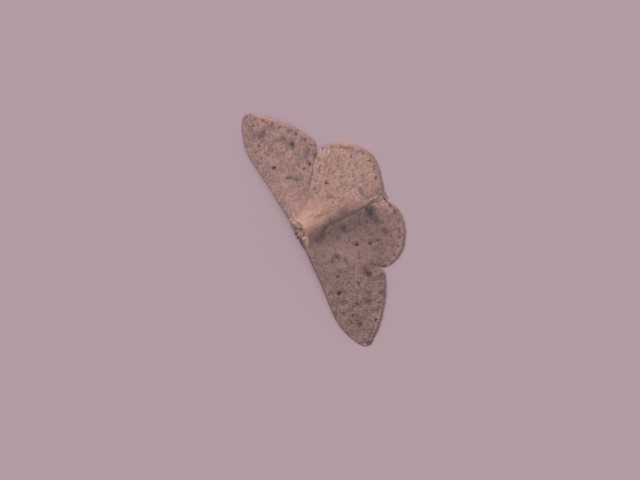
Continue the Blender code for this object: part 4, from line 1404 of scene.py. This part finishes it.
def eyeMaterial():
    made, nodes, links, shader = newMaterial("eye")
    place = nodes.new("ShaderNodeTexCoord")
    cells = nodes.new("ShaderNodeTexVoronoi")
    cells.inputs["Scale"].default_value = 1 / (eyeSet["facet"] * mm)
    links.new(place.outputs["Object"], cells.inputs["Vector"])
    # patches of painted sheen over the dark eye
    tint = nodes.new("ShaderNodeMix")
    tint.data_type = "RGBA"
    tint.inputs["A"].default_value = (*eyeSet["colour"], 1)
    tint.inputs["B"].default_value = (*eyeSet["paintedSheen"], 1)
    patches = nodes.new("ShaderNodeTexNoise")
    patches.inputs["Scale"].default_value = 1 / (eyeSet["patchSize"] * mm)
    links.new(place.outputs["Object"], patches.inputs["Vector"])
    links.new(patches.outputs["Fac"], tint.inputs["Factor"])
    links.new(tint.outputs["Result"], shader.inputs["Base Color"])
    bump = nodes.new("ShaderNodeBump")
    bump.invert = True
    bump.inputs["Strength"].default_value = 0.7
    bump.inputs["Distance"].default_value = eyeSet["facetDepth"] * mm
    links.new(cells.outputs["Distance"], bump.inputs["Height"])
    links.new(bump.outputs["Normal"], shader.inputs["Normal"])
    shader.inputs["Roughness"].default_value = 0.28
    return made


eyeFinish = eyeMaterial()
hornPalette = {**palette, "ground": (0.30, 0.19, 0.13)}
hornFinish = patternMaterial("horn", hornPalette)


def buildEyes():
    centre, sizes = bodySet["eye"]
    for word, side in sides.items():
        bpy.ops.object.select_all(action="DESELECT")
        bpy.ops.mesh.primitive_ico_sphere_add(subdivisions=5, radius=1, scale=sizes,
                                              location=(centre[0] * side, *centre[1:]))
        eye = joinInto(f"eye_{word}Dressed", [bpy.context.active_object])
        eye.data.shade_smooth()
        settle(eye, eyeFinish, [f"eye_{word}"])


feelerSet = {
    "path": [(0.18, 0.20, 1.62), (0.38, -0.04, 1.78), (0.82, -0.14, 1.60), (1.30, -0.10, 1.32),
             (1.90, 0.02, 1.10), (2.60, 0.12, 0.96), (3.60, 0.14, 0.83), (4.70, 0.06, 0.70),
             (5.70, -0.02, 0.58), (6.50, -0.08, 0.50)],
    "rootRadius": 0.060, "tipRadius": 0.024,
    "scapeRadius": 0.11, "scapeShares": (1.0, 0.8),   # of the two stout joints at the head
    "joints": 56, "swell": ((0.0, 0.86), (0.3, 1.0), (0.85, 1.08), (0.97, 0.92)),   # along each joint
    "scalesPerJoint": 10,
    "length": (0.13, 0.10), "width": (0.05, 0.012), "thickness": 0.010,   # of scales above, of hairs below
}


def feelerRadius(t):
    return feelerSet["rootRadius"] + (feelerSet["tipRadius"] - feelerSet["rootRadius"]) * t


def buildFeelers():
    s = feelerSet
    for word, side in sides.items():
        row = smoothRow(s["path"], 0.03) * [side, 1, 1]
        rows = []
        for joint in range(s["joints"]):
            for within, swell in s["swell"]:
                t = (joint + within) / s["joints"]
                radius = s["scapeRadius"] * s["scapeShares"][joint] if joint < 2 else feelerRadius(t)
                rows.append((*along(row, np.array([t]))[0], radius * swell))
        stem = rod(f"antenna_{word}Dressed", rows)
        plainMarks(stem, (0.1, 0, 0.4, 0.2), 1.0)
        settle(stem, hornFinish, [f"antenna_{word}"])

        draw = np.random.default_rng(300 + side)
        count = s["joints"] * s["scalesPerJoint"]
        t = (np.arange(count) + draw.uniform(0, 1, count)) / count
        t = 0.03 + 0.97 * t
        ahead = headingAt(row, t, 0.01)
        turn = draw.uniform(0, 2 * math.pi, count)
        out = aroundRow(ahead, turn, [0, 0, 1.0])
        here = along(row, t) + out * (feelerRadius(t) * 0.85)[:, None]
        upper = out[:, 2] > -0.1
        lie = unit(np.where(upper[:, None], ahead + 0.12 * out, out + 0.4 * ahead))
        facing = np.where(upper[:, None], out, ahead)
        facing = unit(facing - np.sum(facing * lie, axis=1, keepdims=True) * lie)
        marks = np.zeros((count, 4))
        marks[:, 3] = np.where(upper, draw.uniform(0.0, 0.4, count), 0.0)
        marks[:, 2] = np.where(upper, draw.uniform(0.3, 0.7, count), 0.6)
        marks[:, 0] = 0.10
        length = np.where(upper, *s["length"]) * draw.uniform(0.8, 1.2, count)
        width = np.where(upper, *s["width"]) * draw.uniform(0.8, 1.1, count)
        sizes = sized(length, width, s["thickness"])
        coat = layVanes(f"antennaScales_{word}", "hair", here, lie, facing, sizes, sameCurl(count, 0.0, 0.0),
                        marks, np.ones(count), np.column_stack([t, turn / (2 * math.pi)]), 305)
        settle(coat, furFinish)


palpSet = {
    "path": [(0.20, 0.24, 1.14), (0.22, 0.04, 1.00), (0.22, -0.12, 0.99), (0.21, -0.23, 1.06)],
    "radii": (0.09, 0.10, 0.08, 0.04), "hairs": 260, "length": (0.09, 0.15), "width": 0.045,
}
tongueSet = {
    "turns": 2.4, "middle": (-0.02, 0.93),   # y and z of the coil's middle
    "reach": 0.13, "shrink": 0.04,           # how wide the coil is, and how much less after 5 radians
    "radius": 0.034, "thin": 0.0012,         # how thick it is, and how much less after each radian
}


def buildMouth():
    s = palpSet
    for word, side in sides.items():
        row = smoothRow([(*p, r) for p, r in zip(s["path"], s["radii"])], 0.03) * [side, 1, 1, 1]
        palp = rod(f"palp_{word}Dressed", row)
        plainMarks(palp, (0.3, 0, 0.5, 0), 0.9)
        settle(palp, hornFinish, [f"palp_{word}"])
        draw = np.random.default_rng(320 + side)
        count = s["hairs"]
        t = draw.uniform(0, 0.97, count)
        here = along(row, t)
        ahead = headingAt(row[:, :3], t, 0.02)
        turn = draw.uniform(0, 2 * math.pi, count)
        out = aroundRow(ahead, turn, [0.0, 0.3, 1.0])
        marks = np.zeros((count, 4))
        marks[:, 0] = draw.uniform(0.0, 0.5, count)
        marks[:, 2] = draw.uniform(0.2, 0.8, count)
        sizes = sized(draw.uniform(*s["length"], count), s["width"], hairThickness)
        coat = layVanes(f"palpScales_{word}", "hair", here[:, :3] + out * (here[:, 3:] * 0.85), ahead, out,
                        sizes, sameCurl(count, 0.25, 0.1), marks, np.ones(count),
                        np.column_stack([t, turn / (2 * math.pi)]), 325)
        settle(coat, furFinish)
    s, coil = tongueSet, []
    for t in np.linspace(0, s["turns"] * 2 * math.pi, 90):
        reach = s["reach"] - s["shrink"] * t / 5
        coil.append((0.0, s["middle"][0] + reach * math.sin(t), s["middle"][1] + reach * math.cos(t),
                     s["radius"] - s["thin"] * t))
    tongue = rod("tongue", coil)
    plainMarks(tongue, (0, 0, 0.5, 0), 0.8)
    settle(tongue, hornFinish)


buildEyes()
buildFeelers()
buildMouth()
print("head made")


# Legs

legSet = {
    "paths": {   # from the hip: places, and the solid's radius there
        "front": [(0.35, 1.05, 1.05, 0.27), (0.66, 0.86, 0.70, 0.28), (1.25, 0.80, 0.64, 0.26),
                  (1.95, 0.85, 0.60, 0.25), (2.45, 0.88, 0.40, 0.24), (2.95, 0.84, 0.22, 0.22),
                  (3.70, 0.66, 0.15, 0.19), (4.60, 0.44, 0.12, 0.15)],
        "middle": [(0.45, 1.72, 1.00, 0.28), (0.90, 1.68, 0.70, 0.28), (1.60, 1.66, 0.72, 0.26),
                   (2.35, 1.70, 0.64, 0.25), (3.05, 1.80, 0.42, 0.24), (3.60, 1.92, 0.22, 0.22),
                   (4.40, 2.08, 0.15, 0.19), (5.30, 2.32, 0.12, 0.15)],
        "hind": [(0.34, 2.12, 1.00, 0.27), (0.46, 2.42, 0.50, 0.27), (0.82, 3.05, 0.27, 0.25),
                 (1.20, 3.80, 0.22, 0.24), (1.42, 4.40, 0.18, 0.21), (1.70, 5.05, 0.14, 0.18),
                 (2.00, 5.75, 0.11, 0.14)],
    },
    "thin": 0.46,                            # the leg's radius for that of its solid
    "footShare": 0.62, "footThin": 0.30,     # where the foot starts, and how much thinner it is
    "footJoints": 5, "jointThin": 0.30,
    "kneeAt": 0.36, "kneeThin": 0.18,
    "claw": 0.16, "clawRadius": 0.022, "clawSpread": 0.05,
    "spur": 0.30, "spurRadius": 0.032,
    "spursAt": {"front": (), "middle": (0.60,), "hind": (0.42, 0.60)},
    "coatSpacing": 0.085, "scaleLength": (0.10, 0.10),   # at the foot, and more at the hip
    "scaleWidth": 0.42, "thickness": 0.010,              # for the length
}


def limbRows(path, side):
    # the row of one leg, thinner than its solid, with a waist at the knee and at each joint of the foot
    s = legSet
    row = smoothRow(path, 0.06)
    share = np.linspace(0, 1, len(row))
    foot = ease((share - s["footShare"]) / 0.06)
    steps = np.abs(((share - s["footShare"]) * s["footJoints"] / (1 - s["footShare"])) % 1 - 0.5)
    knee = np.exp(-((share - s["kneeAt"]) / 0.03) ** 2)
    radius = row[:, 3] * s["thin"] * (1 - s["footThin"] * foot)
    radius = radius * (1 - s["jointThin"] * foot * ease((steps - 0.36) / 0.10))
    radius = radius * (1 - s["kneeThin"] * knee)
    z = np.maximum(row[:, 2] - (row[:, 3] - radius) * 0.9, radius + 0.006)
    return np.column_stack([row[:, 0] * side, row[:, 1], z, radius])


def clawRows(rows, turn):
    s, tip = legSet, rows[-1, :3]
    ahead = unit(tip - rows[-4, :3])
    across = unit(np.cross(ahead, [0, 0, 1.0]))
    made = []
    for i, share in enumerate(np.linspace(0, 1, 7)):
        x, y, z = tip + ahead * share * s["claw"] + across * turn * s["clawSpread"] * math.sin(share * 2.6)
        radius = s["clawRadius"] * (1.05 - share)
        made.append((x, y, max(z + 0.03 * math.sin(3 * i / 6) - 0.02 * i / 6, radius + 0.003), radius))
    return made


def spurRows(rows, at, turn):
    s, i = legSet, int(at * (len(rows) - 1))
    heading = unit(rows[i + 2, :3] - rows[i, :3])
    beside = unit(np.cross(heading, [0, 0, 1.0])) * turn
    long = s["spur"] * (1 if turn > 0 else 0.75)
    made = []
    for share in np.linspace(0, 1, 6):
        x, y, z = rows[i, :3] + heading * share * long + beside * (0.05 + 0.30 * share * long)
        radius = s["spurRadius"] * (1.1 - share)
        made.append((x, y, max(z, radius + 0.004), radius))
    return made


def layLegScales(name, leg, rows, seed):
    s = legSet
    roots, n = scatter(leg, s["coatSpacing"], seed, (-9, -9, 0.05))
    draw = np.random.default_rng(seed + 1)
    count, last = len(roots), len(rows) - 1
    tree = KDTree(len(rows))
    for i, row in enumerate(rows):
        tree.insert(row[:3], i)
    tree.balance()
    index = np.array([tree.find(q)[1] for q in roots])
    ahead = unit(rows[np.minimum(index + 1, last), :3] - rows[np.maximum(index - 1, 0), :3])
    least, more = s["scaleLength"]
    length = least + more * (1 - index / len(rows))
    marks = np.zeros((count, 4))
    marks[:, 2] = np.where(draw.random(count) < 0.25, 0.6, 0.1)
    marks[:, 3] = draw.uniform(0.0, 0.6, count)
    tone = toneOf(draw, count, 0.10, 0.7, 1.25)
    sizes = sized(length * draw.uniform(0.8, 1.2, count), length * s["scaleWidth"], s["thickness"])
    bake = np.column_stack([index / len(rows), np.arctan2(n[:, 0], n[:, 2]) / (2 * math.pi) + 0.5])
    return layVanes(name, "scale", roots, ahead, n, sizes, sameCurl(count, 0.10, 0.05), marks, tone, bake,
                    seed + 2)


def buildLegs():
    for number, (place, path) in enumerate(legSet["paths"].items()):
        for word, side in sides.items():
            rows = limbRows(path, side)
            pieces = [rod("limb", rows, 10)]
            pieces += [rod("claw", clawRows(rows, turn), 6) for turn in (-1, 1)]
            pieces += [rod("spur", spurRows(rows, at, turn), 6)
                       for at in legSet["spursAt"][place] for turn in (-1, 1)]
            leg = joinInto(f"leg_{place}_{word}Dressed", pieces)
            plainMarks(leg, (0, 0, 0.15, 0.2), 0.9)
            coat = layLegScales(f"legScales_{place}_{word}", leg, rows, 400 + 10 * number + side)
            settle(leg, hornFinish, [f"leg_{place}_{word}"])
            settle(coat, furFinish)


buildLegs()
print("legs made")


# Floor, lights and camera

photoView = {
    "centre": (1.447, -3.286),   # mm, the point of the frame that the middle of the picture shows
    "distance": 250.0,
    "lens": 140.6,
    "turn": 61.96,               # degrees from +X to the picture's right
}
stageSet = {
    "floorSize": 3.0, "floorColour": (0.600, 0.437, 0.475),
    "worldColour": (0.86, 0.91, 1.0), "worldStrength": 0.19,
    "sunHeight": 17, "sunSide": -3,   # degrees above the floor, and forward of the moth's right side
    "sunDistance": 0.60, "sunSize": 0.42, "sunPower": 4.0, "sunColour": (1.0, 0.85, 0.74),
    "skySize": 0.9, "skyHeight": 0.9, "skyPower": 2.60, "skyColour": (0.99, 0.97, 0.98),
    "wallPower": 2.9, "wallSize": 0.25,   # the floor's own light from straight above
}


def buildStage():
    bpy.ops.object.select_all(action="DESELECT")
    bpy.ops.mesh.primitive_plane_add(size=stageSet["floorSize"], location=(0, 0, 0))
    floor = bpy.context.active_object
    floor.name = "floor"
    made, _, _, shader = newMaterial("floor")
    shader.inputs["Base Color"].default_value = (*stageSet["floorColour"], 1)
    shader.inputs["Roughness"].default_value = 0.85
    shader.inputs["Specular IOR Level"].default_value = 0.2
    floor.data.materials.append(made)
    world = bpy.data.worlds.new("studio")
    bpy.context.scene.world = world
    world.use_nodes = True
    sky = world.node_tree.nodes["Background"]
    sky.inputs["Color"].default_value = (*stageSet["worldColour"], 1)
    sky.inputs["Strength"].default_value = stageSet["worldStrength"]


def areaLight(name, place, size, power, colour):
    data = bpy.data.lights.new(name, "AREA")
    data.size = size
    data.energy = power
    data.color = colour
    made = bpy.data.objects.new(name, data)
    bpy.context.scene.collection.objects.link(made)
    made.location = place
    made.rotation_euler = (-Vector(place)).to_track_quat("-Z", "Y").to_euler()
    return made


def lightOnly(lamp, link):   # the lamp lights only the floor, or all but the floor
    chosen = bpy.data.collections.new(f"{lamp.name}Lit")
    chosen.objects.link(bpy.data.objects["floor"])
    chosen.collection_objects[0].light_linking.link_state = link
    lamp.light_linking.receiver_collection = chosen


def buildView():
    height, aside = math.radians(stageSet["sunHeight"]), math.radians(stageSet["sunSide"])
    towards = Vector((-math.cos(height) * math.cos(aside), -math.cos(height) * math.sin(aside),
                      math.sin(height)))
    sun = areaLight("sun", towards * stageSet["sunDistance"], stageSet["sunSize"], stageSet["sunPower"],
                    stageSet["sunColour"])
    lightOnly(sun, "EXCLUDE")
    wall = areaLight("wallLight", Vector((0, 0, stageSet["skyHeight"])), stageSet["wallSize"],
                     stageSet["wallPower"], stageSet["skyColour"])
    lightOnly(wall, "INCLUDE")
    areaLight("sky", Vector((0, 0, stageSet["skyHeight"])), stageSet["skySize"], stageSet["skyPower"],
              stageSet["skyColour"])
    data = bpy.data.cameras.new("photoCamera")
    data.lens = photoView["lens"]
    data.sensor_width = 36
    data.clip_start = 0.01
    camera = bpy.data.objects.new("photoCamera", data)
    bpy.context.scene.collection.objects.link(camera)
    x, y = photoView["centre"]
    camera.location = (x * mm, y * mm, photoView["distance"] * mm)
    camera.rotation_euler = (0, 0, math.radians(photoView["turn"]))
    bpy.context.scene.camera = camera


buildStage()
buildView()
bpy.context.scene.view_settings.view_transform = "Standard"
print("stage made")
